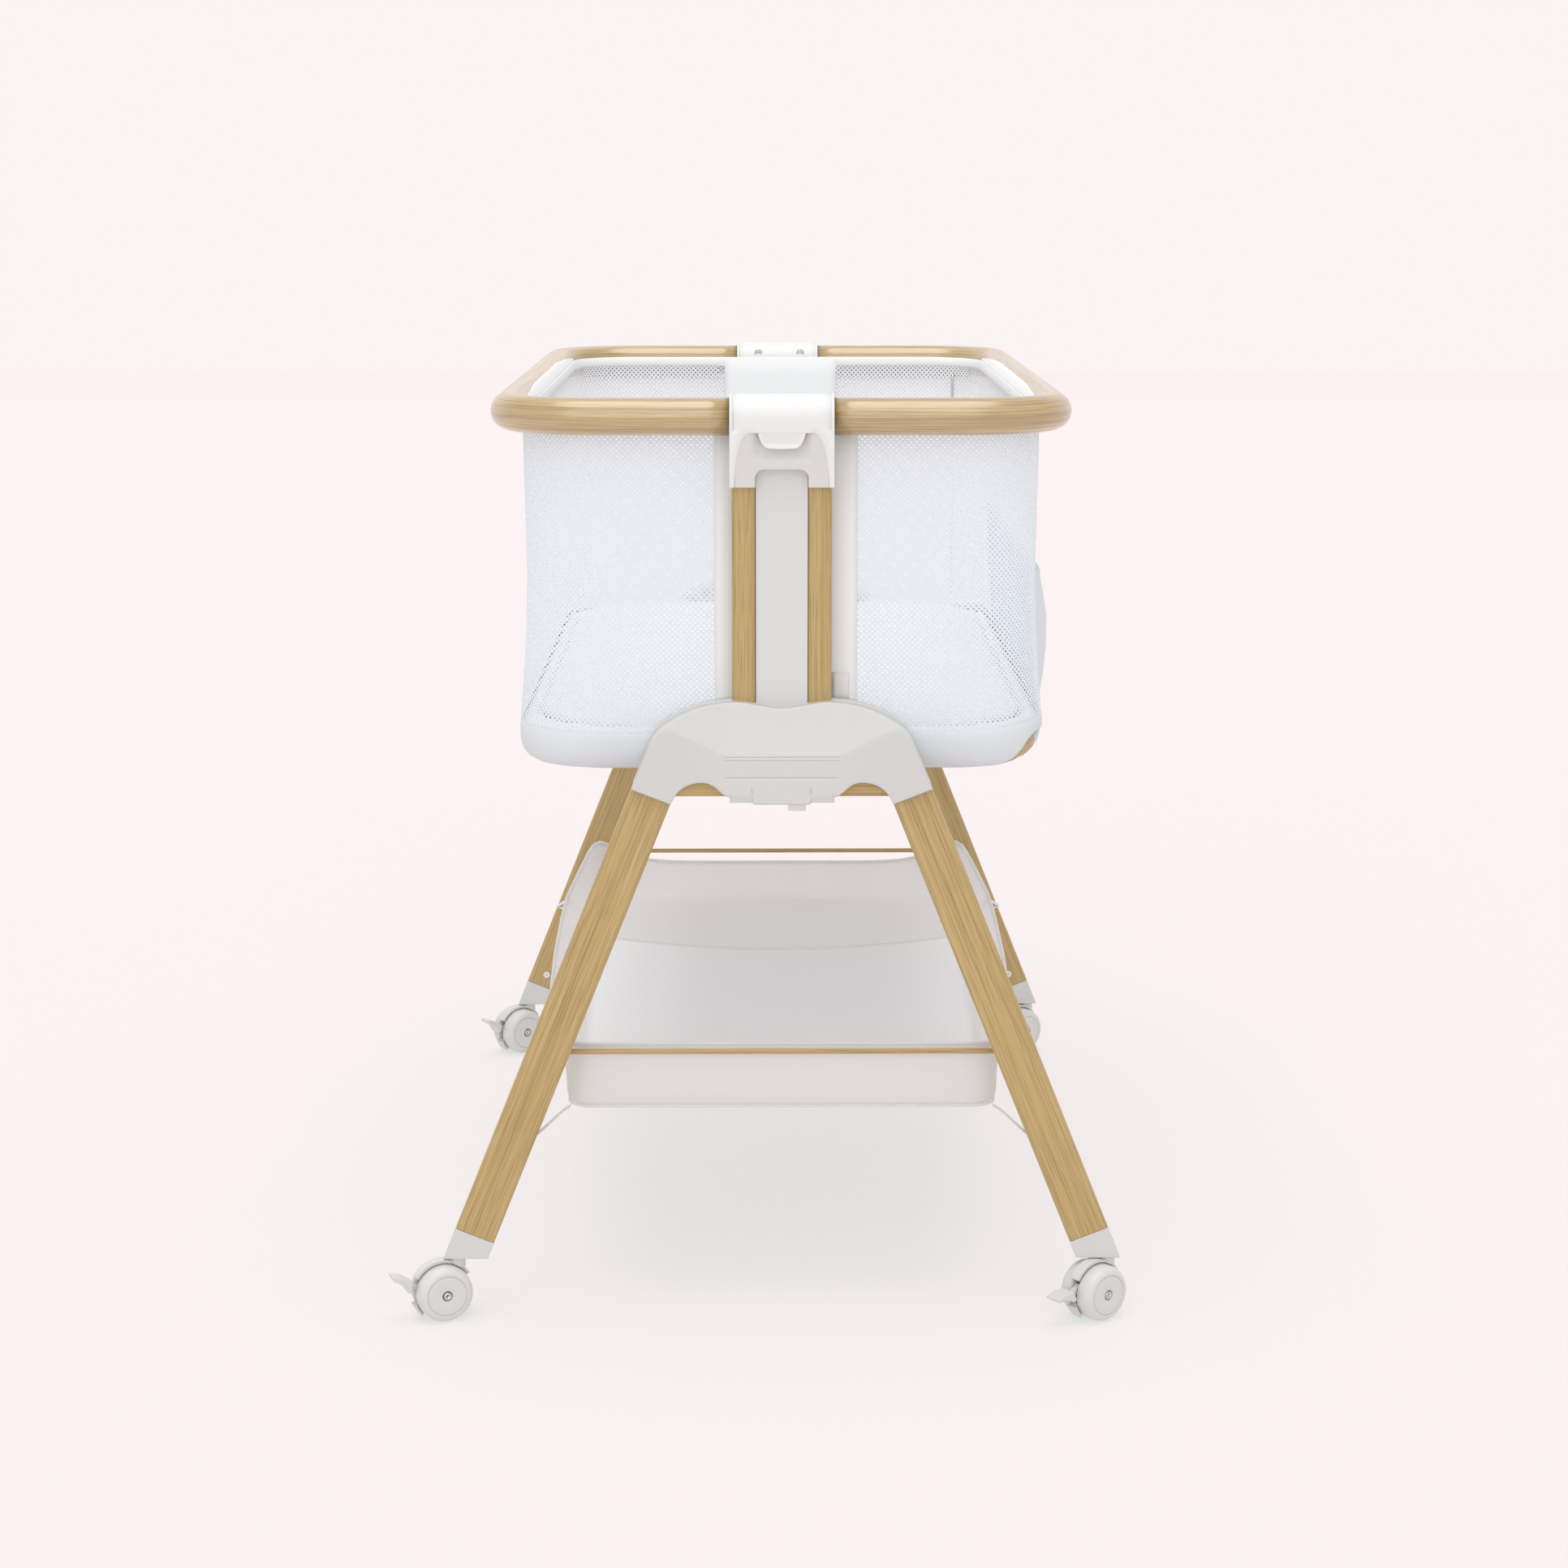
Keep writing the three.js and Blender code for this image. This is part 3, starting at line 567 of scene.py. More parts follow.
def end_strip(end):
    """The solid strip of cloth behind the posts, and its lining on the inside of the mesh."""
    sign = -1 if end == "front" else 1
    left, right, spans = STRIP["left"], STRIP["right"], 16
    outside = [(z, half_length + 0.9) for z, _, half_length, _ in reversed(WALL_LEVELS)]
    layers = [
        (f"end_strip_{end}", STRIP["low"], outside, DENSE_FABRIC),
        (f"strip_lining_{end}", STRIP["lining_low"], LINING, HEM),
    ]
    for name, low, line, material in layers:
        rows = []
        for i in range(spans + 1):
            z = low + (STRIP["high"] - low) * i / spans
            y = sign * between(line, z)
            rows.append([(left + (right - left) * j / spans, y, z) for j in range(spans + 1)])
        cloth_piece(name, rows, material)


def vent_band():
    """The perforated tape under the hem of the two end walls, on both sides of the end strips."""
    top, width = 852, 13
    rows = rings([(top, 235.6, 422.6, 68), (top - width, 235.6, 422.6, 68)])

    def skip(i, j):
        x, y, _ = rows[i][j]
        reach = abs(y) > 385 and not STRIP["left"] - 6 < x < STRIP["right"] + 2
        return not reach

    mesh = grid_mesh("vent_band", rows, closed=True, skip=skip)
    piece = make_piece(mesh, SHADE_PAINTED_TAPE, "bassinet")


# ---------------------------------------------------------------- mattress

VOXEL = 5
PRESSURE, PRESSURE_FRAMES = 4, 20
# The seams are pressed in above this height, this far apart and this deep.
SEAMS = {"low": 571, "pitch": 62, "depth": 1.4}


def remesh(piece, voxel):
    """Puts an even voxel mesh in place of the piece's own."""
    modifier = piece.modifiers.new("voxels", "REMESH")
    modifier.mode = "VOXEL"
    modifier.voxel_size = voxel * MM
    modifier.use_smooth_shade = True
    shaped = piece.evaluated_get(bpy.context.evaluated_depsgraph_get())
    mesh = bpy.data.meshes.new_from_object(shaped)
    mesh.name = piece.name
    piece.modifiers.remove(modifier)
    piece.data = mesh


def inflate(piece, most):
    """Fills the piece out a little by cloth pressure, and holds every point within most millimetres."""
    rest = [vertex.co.copy() for vertex in piece.data.vertices]
    modifier = piece.modifiers.new("pressure", "CLOTH")
    settings = modifier.settings
    settings.use_pressure = True
    settings.uniform_pressure_force = PRESSURE
    settings.effector_weights.gravity = 0
    scene = bpy.context.scene
    for number in range(PRESSURE_FRAMES):
        scene.frame_set(number + 1)
    shaped = piece.evaluated_get(bpy.context.evaluated_depsgraph_get())
    moved = [vertex.co.copy() for vertex in shaped.data.vertices]
    piece.modifiers.remove(modifier)
    for vertex, before, after in zip(piece.data.vertices, rest, moved):
        step = after - before
        if step.length > most * MM:
            step = step.normalized() * most * MM
        vertex.co = before + step
    scene.frame_set(1)


def sew_channels(piece, low, pitch, depth):
    """Presses crossed diagonal seams into the top of a pad, after it has been filled out."""
    for vertex in piece.data.vertices:
        if vertex.co.z < low * MM:
            continue
        x, y = (vertex.co.x - MIDDLE.x) / MM, (vertex.co.y - MIDDLE.y) / MM
        seams = [abs(math.sin(way * math.pi / pitch)) for way in (x + y, x - y)]
        vertex.co.z -= depth * MM * (1 - min(seams) ** 0.5)


def mattress():
    """A thin quilted pad with rounded edges."""
    profile = [(559.8, 8), (562, 2.5), (565.5, 0.6), (569, 1.6), (571.4, 5), (572.4, 12), (572.6, 60)]
    half_width, half_length, corner = 234.6, 420, 104
    levels = [(z, half_width - inset, half_length - inset, corner - inset * 0.4) for z, inset in profile]
    mesh = grid_mesh("mattress_pad", rings(levels), closed=True)
    piece = make_piece(mesh, None, "mattress")
    close_hole(mesh, half_length * 2)
    outward(piece)
    remesh(piece, VOXEL)
    inflate(piece, 1.6)
    sew_channels(piece, **SEAMS)
    piece.data.materials.clear()
    piece.data.materials.append(QUILT)
    for polygon in piece.data.polygons:
        polygon.use_smooth = True
    smoother = piece.modifiers.new("smoother", "SUBSURF")
    smoother.levels = 1
    smoother.render_levels = 1
    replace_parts(piece, "mattress")


# ---------------------------------------------------------------- side pocket

def side_pocket():
    """The soft pocket on the right side. Its lower corners are round, and elastic gathers its mouth."""
    profile = [
        (697, 3), (700, 8), (697, 9.6), (688, 10.2), (675, 13), (650, 15), (620, 13.5), (596, 10), (580, 7),
        (566, 4.6), (556, 3.2), (550.5, 2.6), (548, 2.2),
    ]
    half, corner, low, spans = 300, 48, profile[-1][0], 120
    rows = []
    for z, out in profile:
        into_corner = max(0, low + corner - z)
        reach = half - corner + math.sqrt(corner ** 2 - into_corner ** 2)
        gathered = max(0, 1 - (702 - z) / 55)
        wall = 242.6 + 8 * max(0, (700 - z) / 150)
        row = []
        for i in range(spans + 1):
            across = -1 + 2 * i / spans
            y = across * reach
            ends = min(1, (1 - abs(across)) * reach / 18) ** 0.5
            fold = gathered * (1.3 * math.sin(y / 4.7) + 0.7 * math.sin(y / 3.1 + 1))
            puff = out + fold + soften(y, z, 0, 60, 1.6)
            row.append((wall + puff * ends, y, z - 5 * gathered * (1 - across ** 2)))
        rows.append(row)
    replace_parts(cloth_piece("pocket_cloth", rows, FABRIC, 0.8), "side_pocket")
    piping("pocket_binding", rows[1], 1.3, FABRIC, "bassinet")


# ---------------------------------------------------------------- basket

BASKET = {"half_width": 204, "half_length": 443, "corner": 22, "bottom": 199.5, "floor": 199.2}
END_RIM = {"front": 262, "rear": 243}
# Along the basket's long sides: the height of the rim, and how far it stands out past the ends' half width.
SIDE_RIM = [(-443, 262), (-300, 240), (-100, 226), (50, 225), (200, 230), (290, 236), (350, 249), (443, 273)]
SIDE_OUT = [
    (-443, 0), (-300, 21), (-100, 39), (50, 45), (200, 47), (290, 46), (350, 37), (415, 25), (443, 15),
]
# The rings of the basket's wall, from its rim to the floor, and how far the lowest of them are drawn in.
WALL_SHARES = [1, 0.9, 0.75, 0.6, 0.45, 0.3, 0.2, 0.12, 0.06, 0.02, 0]
DRAWN_IN = [(-4, 0.6), (-3, 2), (-2, 4.5), (-1, 9)]
FLOOR_SHRINK = (0.95, 0.88, 0.8, 0.7, 0.6, 0.5, 0.4, 0.3, 0.2, 0.1, 0.03)


def basket_ring(share):
    """Points round the basket. share is 0 at the floor and 1 at the rim."""
    half_width, half_length, bottom = BASKET["half_width"], BASKET["half_length"], BASKET["bottom"]
    points = []
    for x, y in rounded_ring(half_width, half_length, BASKET["corner"], 8, (40, 60)):
        at_side = min(1, abs(x) / (half_width - 4)) ** 9
        end_rim = END_RIM["front"] if y < 0 else END_RIM["rear"]
        rim = end_rim + (between(SIDE_RIM, y) - end_rim) * at_side
        lean = 9 * (1 - share) ** 2 * max(0, y / half_length - 0.96) / 0.04
        out = between(SIDE_OUT, y) * at_side * (0.3 + 0.7 * share)
        points.append((x + math.copysign(out, x), y - lean, bottom + (rim - bottom) * share))
    return points


def drawn_in(value):
    """From -1 to 1: the way inwards, fading out near the middle."""
    return max(-1.0, min(1.0, value / 120))


def basket_rows():
    """Rings of points down the wall and then inwards over the floor."""
    rows = [basket_ring(share) for share in WALL_SHARES]
    for i, pull in DRAWN_IN:
        rows[i] = [(x - pull * drawn_in(x), y - pull * drawn_in(y), z) for x, y, z in rows[i]]
    edge = rows[-1]
    for shrink in FLOOR_SHRINK:
        inner = [(x * shrink, y * shrink) for x, y, _ in edge]
        rows.append([(x, y, BASKET["floor"] + soften(x, y, 0, 90, 0.8)) for x, y in inner])
    return rows


def basket():
    """The fabric trough between the A-frames. Its flat size is its floor and its highest wall all round."""
    rows = basket_rows()
    mesh = grid_mesh("basket_cloth", rows, closed=True)
    piece = make_piece(mesh, BASKET_FABRIC, "stand")
    close_hole(mesh, BASKET["half_width"])
    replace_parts(piece, "basket")
    thicken(piece, 1.0, -1)


def basket_edges():
    """The piping round the rim, and along the front lower edge."""
    rim = [(x, y, z + 0.4) for x, y, z in basket_ring(1)]
    piping("basket_rim", rim, 1.6, BASKET_FABRIC, "stand", closed=True)
    front = [point for point in basket_ring(0) if point[1] < -380]
    start = max(range(len(front)), key=lambda i: (Vector(front[i]) - Vector(front[i - 1])).length)
    welt = [(x * 0.995, y * 0.995, z + 0.6) for x, y, z in front[start:] + front[:start]]
    piping("basket_welt", welt, 1.5, BASKET_FABRIC, "stand")


def basket_floor_pad():
    """The stiff pad laid on the basket's floor. Its rear edge is an arc, and the cloth dips behind it."""
    front = -431
    rows = []
    for i in range(31):
        across = -1 + 2 * i / 30
        rear = 224 - 62 * (1 - across * across)
        row = []
        for j in range(41):
            y = front + (rear - front) * j / 40
            half_width = 193 + 0.3 * between(SIDE_OUT, y) - 20 * max(0, 1 - (y - front) / 24) ** 2
            row.append((half_width * across, y, 203.2))
        rows.append(row)
    cloth_piece("basket_floor_pad", rows, PAD_FABRIC, 2.4, body="stand")


# ---------------------------------------------------------------- moulded plastic covers

def bezier(points, spans):
    """Points along a cubic curve, without its first point."""
    a, b, c, d = (Vector(point) for point in points)
    line = []
    for i in range(1, spans + 1):
        t = i / spans
        line.append(a * (1 - t) ** 3 + b * 3 * t * (1 - t) ** 2 + c * 3 * t * t * (1 - t) + d * t ** 3)
    return [(point.x, point.y) for point in line]


def spaced(points, spacing):
    """A closed outline with extra points, so that none are further apart than spacing."""
    line = []
    for a, b in zip(points, points[1:] + points[:1]):
        count = max(1, math.ceil(math.dist(a, b) / spacing))
        line += [(a[0] + (b[0] - a[0]) * i / count, a[1] + (b[1] - a[1]) * i / count) for i in range(count)]
    return line


def edge_distances(points, outline):
    """How far each point is from the outline."""
    points, start = np.array(points), np.array(outline)
    step = np.roll(start, -1, axis=0) - start
    nearest = np.full(len(points), np.inf)
    for origin, way in zip(start, step):
        share = np.clip(((points - origin) @ way) / (way @ way), 0, 1)
        nearest = np.minimum(nearest, np.linalg.norm(points - origin - share[:, None] * way, axis=1))
    return nearest


def inside(point, outline):
    x, y = point
    hit = False
    for (x0, y0), (x1, y1) in zip(outline, outline[1:] + outline[:1]):
        if (y0 > y) != (y1 > y) and x < x0 + (x1 - x0) * (y - y0) / (y1 - y0):
            hit = not hit
    return hit


def cover_mesh(name, outline, columns, rows, sunk, back, place, rim):
    """A moulded cover over an outline. sunk(u, v) is how deep its face lies, and back is the depth of its
    back. The face rounds over by rim at the outline. place(u, v, depth) puts a point in the bassinet's
    frame."""
    outline = spaced(outline, 1.6)
    clockwise = sum(a[0] * b[1] - b[0] * a[1] for a, b in zip(outline, outline[1:] + outline[:1])) < 0
    if clockwise:
        outline.reverse()
    inner = [(u, v) for u in columns for v in rows if inside((u, v), outline)]
    count = len(outline)
    for inset in (0.25 * rim, 0.6 * rim, rim):
        for i in range(count):
            before, after = outline[i - 1], outline[(i + 1) % count]
            way = Vector((after[0] - before[0], after[1] - before[1])).normalized()
            inner.append((outline[i][0] - way.y * inset, outline[i][1] + way.x * inset))
    distances = edge_distances(inner, outline)
    kept = [point for point, far in zip(inner, distances) if far > 0.22 * rim and inside(point, outline)]
    flat = [Vector(point) for point in outline + kept]
    flat, _, triangles, *_ = delaunay_2d_cdt(flat, [], [list(range(count))], 1, 1e-4)
    distances = edge_distances([tuple(point) for point in flat], outline)
    vertices = []
    for point, far in zip(flat, distances):
        short = max(0.0, rim - far)
        rounding = rim - math.sqrt(max(0.0, rim * rim - short * short))
        vertices.append(at(*place(point.x, point.y, sunk(point.x, point.y) + rounding)))
    border = [i for i, far in enumerate(distances) if far < 1e-4]

    def nearest_corner(i):
        return min(range(count), key=lambda k: (flat[i] - Vector(outline[k])).length)

    loop = sorted(border, key=nearest_corner)
    faces = [tuple(triangle) for triangle in triangles]
    first = len(vertices)
    vertices += [at(*place(flat[i].x, flat[i].y, back)) for i in range(len(flat))]
    faces += [tuple(first + i for i in reversed(triangle)) for triangle in triangles]
    for a, b in zip(loop, loop[1:] + loop[:1]):
        faces.append((b, a, first + a, first + b))
    return new_mesh(name, vertices, faces)


def spread(low, high, spacing, *extra):
    """Evenly spaced values from low to high, with some extra ones among them."""
    count = round((high - low) / spacing)
    return sorted([low + (high - low) * i / count for i in range(count + 1)] + list(extra))


# The Y of the front hub's face, of the joint between its two covers, and of its back.
HUB_FRONT, HUB_SPLIT, HUB_BACK = -486, -459.8, -436.2
# The right half of the hub's outline, as curves of four points and single points.
HUB_HALF = [
    [(0, 593.5), (16, 593.5), (27, 599.5), (44.5, 599.5)],
    [(44.5, 599.5), (72, 598.5), (94, 588), (112, 574)],
    [(112, 574), (116, 571), (119, 567), (121, 562)],
    [(139.4, 516.6)],
    [(103.2, 502)],
    [(103.2, 502), (97.5, 516), (88, 523), (73, 523)],
    [(73, 523), (61, 523), (57, 511), (48.4, 509.5)],
    [(48.4, 504.6)],
    [(27, 504.6)],
    [(26, 502.8)],
]
# The crease between the arms and the saddle: distance from the middle, and height.
CREASE = [
    (0, 548.6), (52, 548.6), (60, 551), (72, 557.5), (85, 564), (97, 570), (105, 572), (113, 570), (122, 562),
]
# Grooves across the hub's face as height and half length, and slits down it as place, low and high end.
HUB_GROOVES = [(547.6, 54), (544.4, 54), (528, 54)]
HUB_SLITS = [(-27.6, 512, 520.5), (26.7, 512, 520.5)]


def hub_sunk(x, z):
    """How deep the hub's face lies: the saddle leans back above the crease, the arms face slightly down, and
    thin lines are moulded in."""
    above = z - between(CREASE, abs(x))
    lean = 0.0
    if above > 0:
        lean = 0.36 * above * min(1, above / 6) ** 0.6
    arm = 0.07 * max(0, -above) * between([(56, 0), (80, 1)], abs(x))
    groove = max([0.6 * (abs(z - line) < 0.3 and abs(x) < half) for line, half in HUB_GROOVES] +
                 [0.7 * (abs(x - line) < 0.35 and low < z < high) for line, low, high in HUB_SLITS])
    block = 1.2 if z < 510.5 and 27 < abs(x) < 50 else 0
    return lean + arm + groove + block


def hub_height(x, z):
    """The saddle's face drops a little as it leans back, so that its rim keeps its line from the front."""
    above = z - between(CREASE, abs(x))
    return z - 0.07 * max(0, above)


def hub(end):
    half = []
    for part in HUB_HALF:
        half += bezier(part, 14) if len(part) == 4 else part
    outline = [(0, 593.5)] + half + [(-x, z) for x, z in reversed(half)]
    fine_rows = [548.6, 548.0, 549.4]
    fine_rows += [line + d for line, _ in HUB_GROOVES for d in (-0.5, -0.15, 0.15, 0.5)]
    fine_columns = [line + d for line, _, _ in HUB_SLITS for d in (-0.6, -0.2, 0.2, 0.6)]
    fine_columns += [side * x for side in (-1, 1) for x in (49.5, 50.5)]
    columns, rows = spread(-138, 138, 3, *fine_columns), spread(503, 598, 2.5, *fine_rows)
    mesh = cover_mesh(f"hub_cover_{end}", outline, columns, rows, hub_sunk, HUB_SPLIT - HUB_FRONT,
                      lambda x, z, depth: at_end(end, x, HUB_FRONT + depth, hub_height(x, z)), 1.6)
    cover(mesh, WHITE, "stand", "white_plastic", f"hub_outer_{end}", f"latch_cover_{end}")
    inner = [(x, z) for x, z in outline if z > 504.7]
    mesh = cover_mesh(f"hub_back_{end}", inner, spread(-138, 138, 4), spread(503, 598, 4),
                      lambda x, z: 0.0, HUB_BACK - HUB_SPLIT,
                      lambda x, z, depth: at_end(end, x, HUB_BACK - depth, hub_height(x, z)), 1.2)
    cover(mesh, WHITE, "stand", "white_plastic", f"hub_inner_{end}")


CAP_HALF, CAP_CENTRE, CAP_DEPTH, CAP_HEIGHT = 47.9, -447.5, 22.5, 21
CAP_BACK_ANGLE = -42
CAP_ARC = math.radians(180 - CAP_BACK_ANGLE) * (CAP_DEPTH + CAP_HEIGHT) / 2
CAP_GAP = 44.5
# Heights of the top of the arches in the skirt, the skirt's lower end, and the lever's lower end.
ARCH_TOP, CAP_LOW, LEVER_LOW = 844, 794.3, 830
# The Y of the front bridge's face and of the front lever's face.
BRIDGE_FACE, LEVER_FACE = -467, -469.9


def cap_place(end):
    """A function from (across, down along the profile, depth) to the bassinet's frame."""
    def place(x, down, depth):
        if down <= CAP_ARC:
            angle = math.radians(CAP_BACK_ANGLE + (180 - CAP_BACK_ANGLE) * down / CAP_ARC)
            y = CAP_CENTRE + (CAP_DEPTH - depth) * math.cos(angle)
            z = RAIL["z"] + (CAP_HEIGHT - depth) * math.sin(angle)
        else:
            y, z = CAP_CENTRE - CAP_DEPTH + depth, RAIL["z"] - (down - CAP_ARC)
        return at_end(end, x, y, z)
    return place


def cap(end):
    """The cover over the rail joint, with a skirt cut away under two arches, and a gap beside each collar."""
    def down(z):
        return CAP_ARC + RAIL["z"] - z
    top, low = down(ARCH_TOP), down(CAP_LOW)
    arch = [(28.4, top), (36, top), (42.4, down(826)), (43.4, low)]
    half = [(23.5, top), (26, top), (28.4, top)] + bezier(arch, 16) + [(CAP_HALF, low), (CAP_HALF, 0)]
    outline = half + [(-x, v) for x, v in reversed(half)]
    edge = bezier(arch, 16)

    def sunk(x, v):
        on_barrel = v < down(ARCH_TOP + 2)
        shoulder = 2.2 * between([(37, 0), (40, 0.12), (43.9, 1)], abs(x)) * on_barrel
        collar = -2.2 * (abs(x) > CAP_GAP + 0.4) * on_barrel
        gap = 0.8 * (abs(abs(x) - CAP_GAP) < 0.4) * on_barrel
        near = edge_distances([(abs(x), v)], edge)[0] if abs(x) > 24 and v > down(ARCH_TOP + 9) else 9
        return shoulder + collar + gap + 2.4 * max(0, 1 - near / 8) ** 2

    columns = spread(-46.4, 46.4, 2.6, *[s * (CAP_GAP + d) for s in (-1, 1) for d in (-0.7, -0.3, 0.3, 0.7)])
    rows = spread(1.5, down(CAP_LOW + 0.7), 2.4)
    mesh = cover_mesh(f"cap_cover_{end}", outline, columns, rows, sunk, 4.2, cap_place(end), 0.8)
    cover(mesh, CAP_WHITE, "bassinet", "white_plastic", f"cap_{end}")


def bridge(end):
    """The inner cover under the skirt, round the head of the centre panel, scooped out behind the lever."""
    inner, head, corner = 24.3, 810.6, 8
    turns = [math.radians(angle) for angle in range(90, -1, -15)]
    arch = [(inner - corner * (1 - math.cos(a)), head - corner * (1 - math.sin(a))) for a in turns]
    half = arch + [(inner, CAP_LOW), (43.3, CAP_LOW), (43.3, 849.2)]
    outline = half + [(-x, z) for x, z in reversed(half)]

    def sunk(x, z):
        beside = between([(0, 1), (21, 1), (27, 0)], abs(x))
        return 4.2 * beside * between([(LEVER_LOW - 12, 0), (LEVER_LOW - 4, 1)], z)

    mesh = cover_mesh(f"bridge_cover_{end}", outline, spread(-42, 42, 2.4), spread(795.5, 848, 2.4), sunk, 30,
                      lambda x, z, depth: at_end(end, x, BRIDGE_FACE + depth, z), 0.9)
    cover(mesh, GREY, "bassinet", "grey_plastic", f"bridge_{end}")


def release_lever(end):
    """The U-shaped lever under the cap, dished above a rounded lip."""
    low, shoulder, top = LEVER_LOW, LEVER_LOW + 6, LEVER_LOW + 18
    side = [(10.5, low - 0.2), (18, low), (20, shoulder), (23, top)]
    right = bezier(side, 12)
    left = [(-x, z) for x, z in reversed(right)]
    points = left + [(-10.5, low - 0.2), (0, low - 0.6), (10.5, low - 0.2)] + right

    def sunk(x, z):
        far = edge_distances([(x, z)], points)[0] if z < top - 5 else 5
        return 2.8 * between([(1.8, 0), (4.4, 1)], far) * between([(top - 12, 1), (top - 2, 0)], z)

    columns, rows = spread(-20, 20, 1.6), spread(low + 1.5, top - 1, 1.5)
    mesh = cover_mesh(f"lever_{end}", points, columns, rows, sunk, 6.2,
                      lambda x, z, depth: at_end(end, x, LEVER_FACE + depth, z), 1.0)
    cover(mesh, CAP_WHITE, f"release_lever_{end}", "white_plastic", f"release_lever_{end}")


# ---------------------------------------------------------------- screws, straps and other small things

def screw(name, x, y, z, facing, radius, body, material):
    """A round screw head with a ring and a dimple. It faces along -Y or +Y."""
    shares = [(1, -1.5), (1, 0.5), (0.86, 0.9), (0.68, 0.7), (0.6, 0.2), (0.5, 0.1), (0.42, 0.5), (0.24, 0.5),
              (0.2, -0.7)]
    axis = 0.01
    profile = [(axis, -1.5)] + [(radius * share, along) for share, along in shares] + [(axis, -0.7)]
    turned = [(r, facing * along) for r, along in profile]
    mesh = lathe_mesh(name, turned, lambda u, v, w: (x + u, y + v, z + w), 28)
    outward(make_piece(mesh, material, body))


def cap_screws(end):
    """Two screws in the inner face of the cap."""
    for label, x in (("a", -22.7), ("b", 27.1)):
        px, py, pz = at_end(end, -x, CAP_CENTRE + CAP_DEPTH * math.cos(math.radians(26)), 867.3)
        screw(f"cap_screw_{end}_{label}", px, py, pz, 1 if end == "front" else -1, 4.6, "bassinet", STEEL)


def foot_screws():
    """A screw in the inner face of each leg, just above the foot socket."""
    for name, (sx, sy, _) in CASTERS.items():
        screw(f"foot_screw_{name}", sx * 287.5, sy * 454.8, 97, -sy, 4, "stand", CAP_WHITE)


def webbing(name, points, thickness):
    """Flat webbing along points. Its width lies along Y."""
    wide = Vector((0, WEBBING_WIDTH / 2, 0))
    vertices, faces = [], []
    path = [Vector(point) for point in points]
    for i, point in enumerate(path):
        way = (path[min(i + 1, len(path) - 1)] - path[max(i - 1, 0)]).normalized()
        thick = way.cross(wide).normalized() * thickness / 2
        vertices += [at(*(point + a * wide + b * thick)) for a, b in ((-1, -1), (1, -1), (1, 1), (-1, 1))]
    for i in range(len(path) - 1):
        for k in range(4):
            m = (k + 1) % 4
            faces.append((4 * i + k, 4 * i + m, 4 * i + 4 + m, 4 * i + 4 + k))
    faces += [(3, 2, 1, 0), tuple(4 * (len(path) - 1) + k for k in range(4))]
    mesh = new_mesh(name, vertices, faces)
    piece = make_piece(mesh, WEBBING, "stand", smooth=False)


def basket_straps():
    """Webbing from the basket's lower corners to the legs."""
    path = [(202, 441, 200.5), (210, 444.5, 196), (222, 450, 186), (233, 454, 177)]
    for name, (sx, sy, _) in CASTERS.items():
        points = [(sx * x, sy * y, z) for x, y, z in path]
        webbing(f"basket_strap_{name}", points, 1.1)


def basket_tabs():
    """A small pointed loop on each rear rim corner of the basket."""
    path = [(248, 284, 232), (254, 283, 230), (261, 281, 226.4), (255.5, 280, 224.4), (248, 279, 221)]
    for side, sx in (("left", -1), ("right", 1)):
        points = [(sx * x, y, z) for x, y, z in path]
        webbing(f"basket_tab_{side}", points, 1.4)


def label():
    """A blank woven label on the front end strip, beside the post."""
    rows = [[(47 + 16 * j / 4, -435.6, z) for j in range(5)] for z in (590, 600, 610, 619)]
    cloth_piece("blank_label", rows, WEBBING, 0.4)


def zip_end():
    """The zip of the drop side: a coil up the inside of the rear right corner, with its slider."""
    angle, radius, top, length, spans = math.radians(52), 67, 842, 262, 60
    x = 235.6 - 68 + radius * math.cos(angle)
    y = 422.6 - 68 + radius * math.sin(angle)
    coil = [(x, y, top - length * i / spans) for i in range(spans + 1)]
    piping("zip_coil", coil, 0.9, WEBBING, "bassinet")
    slider = [(x - out, y - out, z) for out, z in ((1, 843), (1.6, 838), (1.8, 826), (1.6, 812))]
    make_piece(tube_mesh("zip_slider", slider, 1.5, 10), STEEL, "bassinet")


# ---------------------------------------------------------------- casters

def caster_place(name):
    """A function from a caster's own frame, about its axle's middle, to the bassinet's frame."""
    sx, sy, swivel = CASTERS[name]
    turn = Matrix.Rotation(math.radians(swivel), 3, "Z")

    def place(x, y, z):
        local = turn @ Vector((x - CASTER_TRAIL, y, z + WHEEL_RADIUS))
        return local + Vector((sx * SWIVEL_STEM["x"], sy * SWIVEL_STEM["y"], 0))

    return place


# Radius and distance along the axle of the wheel's outline, and of the head of its axle.
WHEEL_PROFILE = [
    (4.6, 4.2), (24, 4.2), (26.4, 4.6), (27, 5.6), (27, 12.2), (26.7, 14.4), (25.9, 16.8), (24.6, 18.8),
    (23, 20.2), (21.2, 20.9), (19.9, 21), (19.6, 20.9), (19.4, 20.2), (18.9, 20.2), (18.7, 20.9), (18.2, 21),
    (6, 21.3), (5.4, 21.1), (5.2, 20.6), (5.1, 19.4), (4.6, 19.2),
]
AXLE_HEAD = [(0.01, 19.6), (3.9, 19.6), (3.9, 20.6), (3.2, 21.2), (1.8, 21.4), (1.6, 20.6), (0.01, 20.5)]


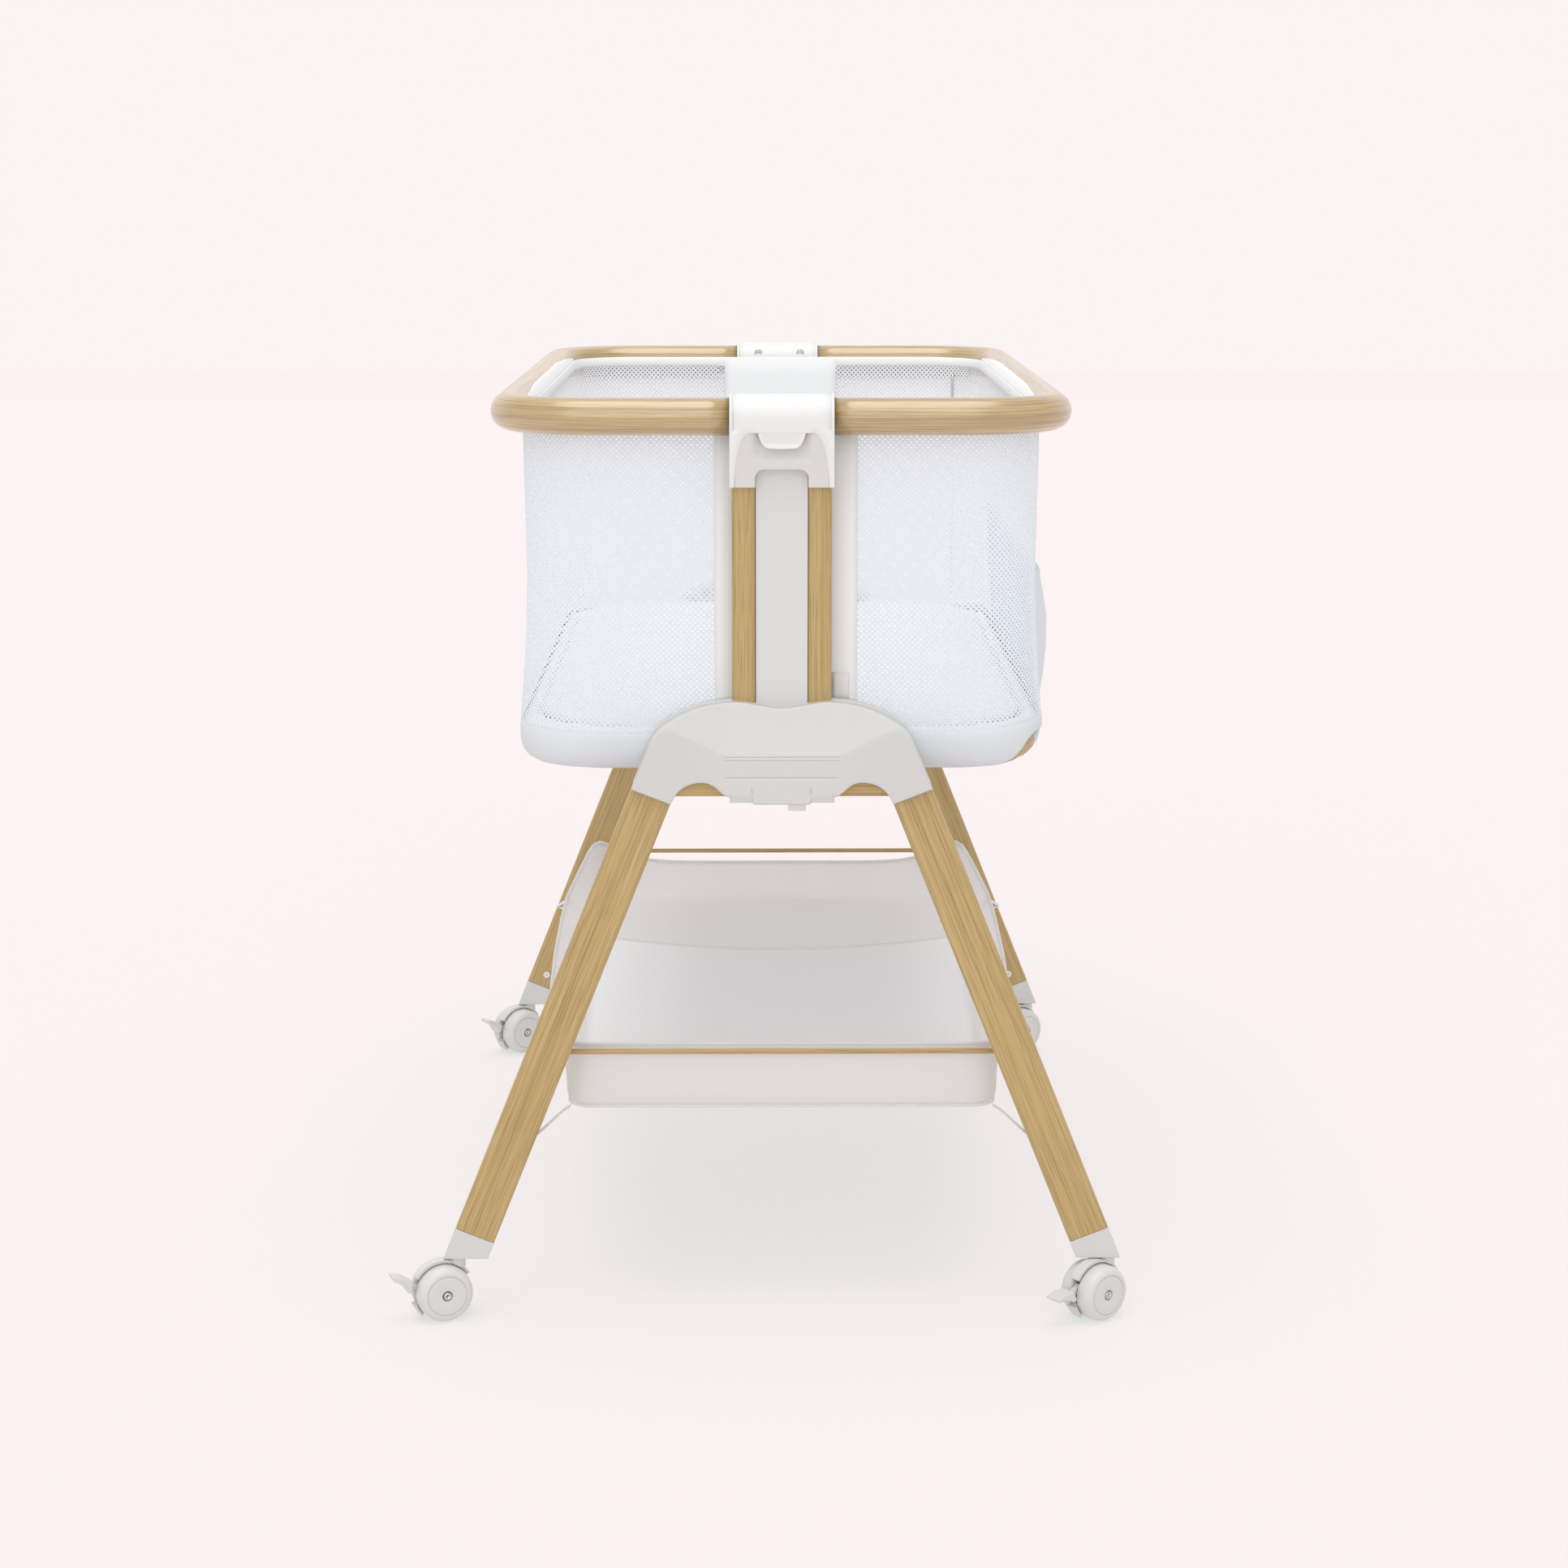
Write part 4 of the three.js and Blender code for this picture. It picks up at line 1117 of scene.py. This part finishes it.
def caster_wheels(name):
    """Two finer wheels with a ring groove, and the axle's head in the middle."""
    place = caster_place(name)
    for label, face in (("outer", -1), ("inner", 1)):
        turned = [(radius, face * along) for radius, along in WHEEL_PROFILE]
        mesh = lathe_mesh(f"wheel_{label}_fine_{name}", turned, place)
        cover(mesh, CASTER_WHITE, f"wheels_{name}", "caster_plastic", f"wheel_{label}_{name}")
        turned = [(radius, face * along) for radius, along in AXLE_HEAD]
        mesh = lathe_mesh(f"axle_head_{label}_{name}", turned, place, 32)
        outward(make_piece(mesh, STEEL, f"wheels_{name}"))


# ---------------------------------------------------------------- stage, lights, camera

BACKDROP = (0.973, 0.896, 0.905)
FLOOR_GLOW, FLOOR_MATTE = (0.546, 0.61, 0.582), (0.35, 0.234, 0.264)
SKY_COLOR, SKY_STRENGTH = (1, 0.995, 0.99, 1), 0.7
# Focal length and sensor width in millimetres, the camera's place, and its tilt and turn in radians.
CAMERA = {"lens": 71.33, "sensor": 36, "place": (-17.06, -3300.27, 1072.75), "tilt": 0.193, "turn": -0.0067}


def plane(name, corners, material):
    mesh = new_mesh(name, corners, [(0, 1, 2, 3)])
    mesh.materials.append(material)
    piece = bpy.data.objects.new(name, mesh)
    bpy.context.scene.collection.objects.link(piece)


def stage():
    """A floor that glows a little, so that it is as pale as the backdrop and still takes soft shadows."""
    half, back, height = 30, 14, 14
    floor = [(-half, -half, 0), (half, -half, 0), (half, back, 0), (-half, back, 0)]
    wall = [(-half, back, 0), (half, back, 0), (half, back, height), (-half, back, height)]
    plane("floor", floor, glowing("floor", FLOOR_GLOW, FLOOR_MATTE))
    plane("backdrop", wall, glowing("backdrop", BACKDROP))


def sky_light(name, way, softness, power):
    """A broad soft light that shines along way, as from a ceiling of softboxes."""
    data = bpy.data.lights.new(name, "SUN")
    data.angle = math.radians(softness)
    data.energy = power
    lamp = bpy.data.objects.new(name, data)
    bpy.context.scene.collection.objects.link(lamp)
    lamp.rotation_euler = Vector(way).to_track_quat("-Z", "Y").to_euler()


def light_and_camera():
    scene = bpy.context.scene
    world = bpy.data.worlds.new("world")
    world.use_nodes = True
    background = world.node_tree.nodes["Background"]
    background.inputs["Color"].default_value = SKY_COLOR
    background.inputs["Strength"].default_value = SKY_STRENGTH
    scene.world = world
    scene.view_settings.view_transform = "Standard"
    sky_light("top", (0.05, 0.12, -1), 50, 1.3)
    sky_light("front", (0.15, 1, -0.45), 60, 0.65)
    camera_data = bpy.data.cameras.new("camera")
    camera_data.lens = CAMERA["lens"]
    camera_data.sensor_width = CAMERA["sensor"]
    camera = bpy.data.objects.new("camera", camera_data)
    scene.collection.objects.link(camera)
    camera.location = at(*CAMERA["place"])
    camera.rotation_euler = (math.radians(90) - CAMERA["tilt"], 0, CAMERA["turn"])
    scene.camera = camera


paint_frame()
for side in (-1, 1):
    rail(side)
    side_sleeve(side)
mesh_wall()
lower_band()
floor_panel()
inner_gusset()
top_hem()
vent_band()
for end in ("front", "rear"):
    end_strip(end)
mattress()
side_pocket()
basket()
basket_edges()
basket_floor_pad()
basket_straps()
basket_tabs()
label()
zip_end()
foot_screws()
for name in CASTERS:
    caster_wheels(name)
for end in ("front", "rear"):
    hub(end)
    cap(end)
    bridge(end)
    release_lever(end)
    cap_screws(end)
stage()
light_and_camera()
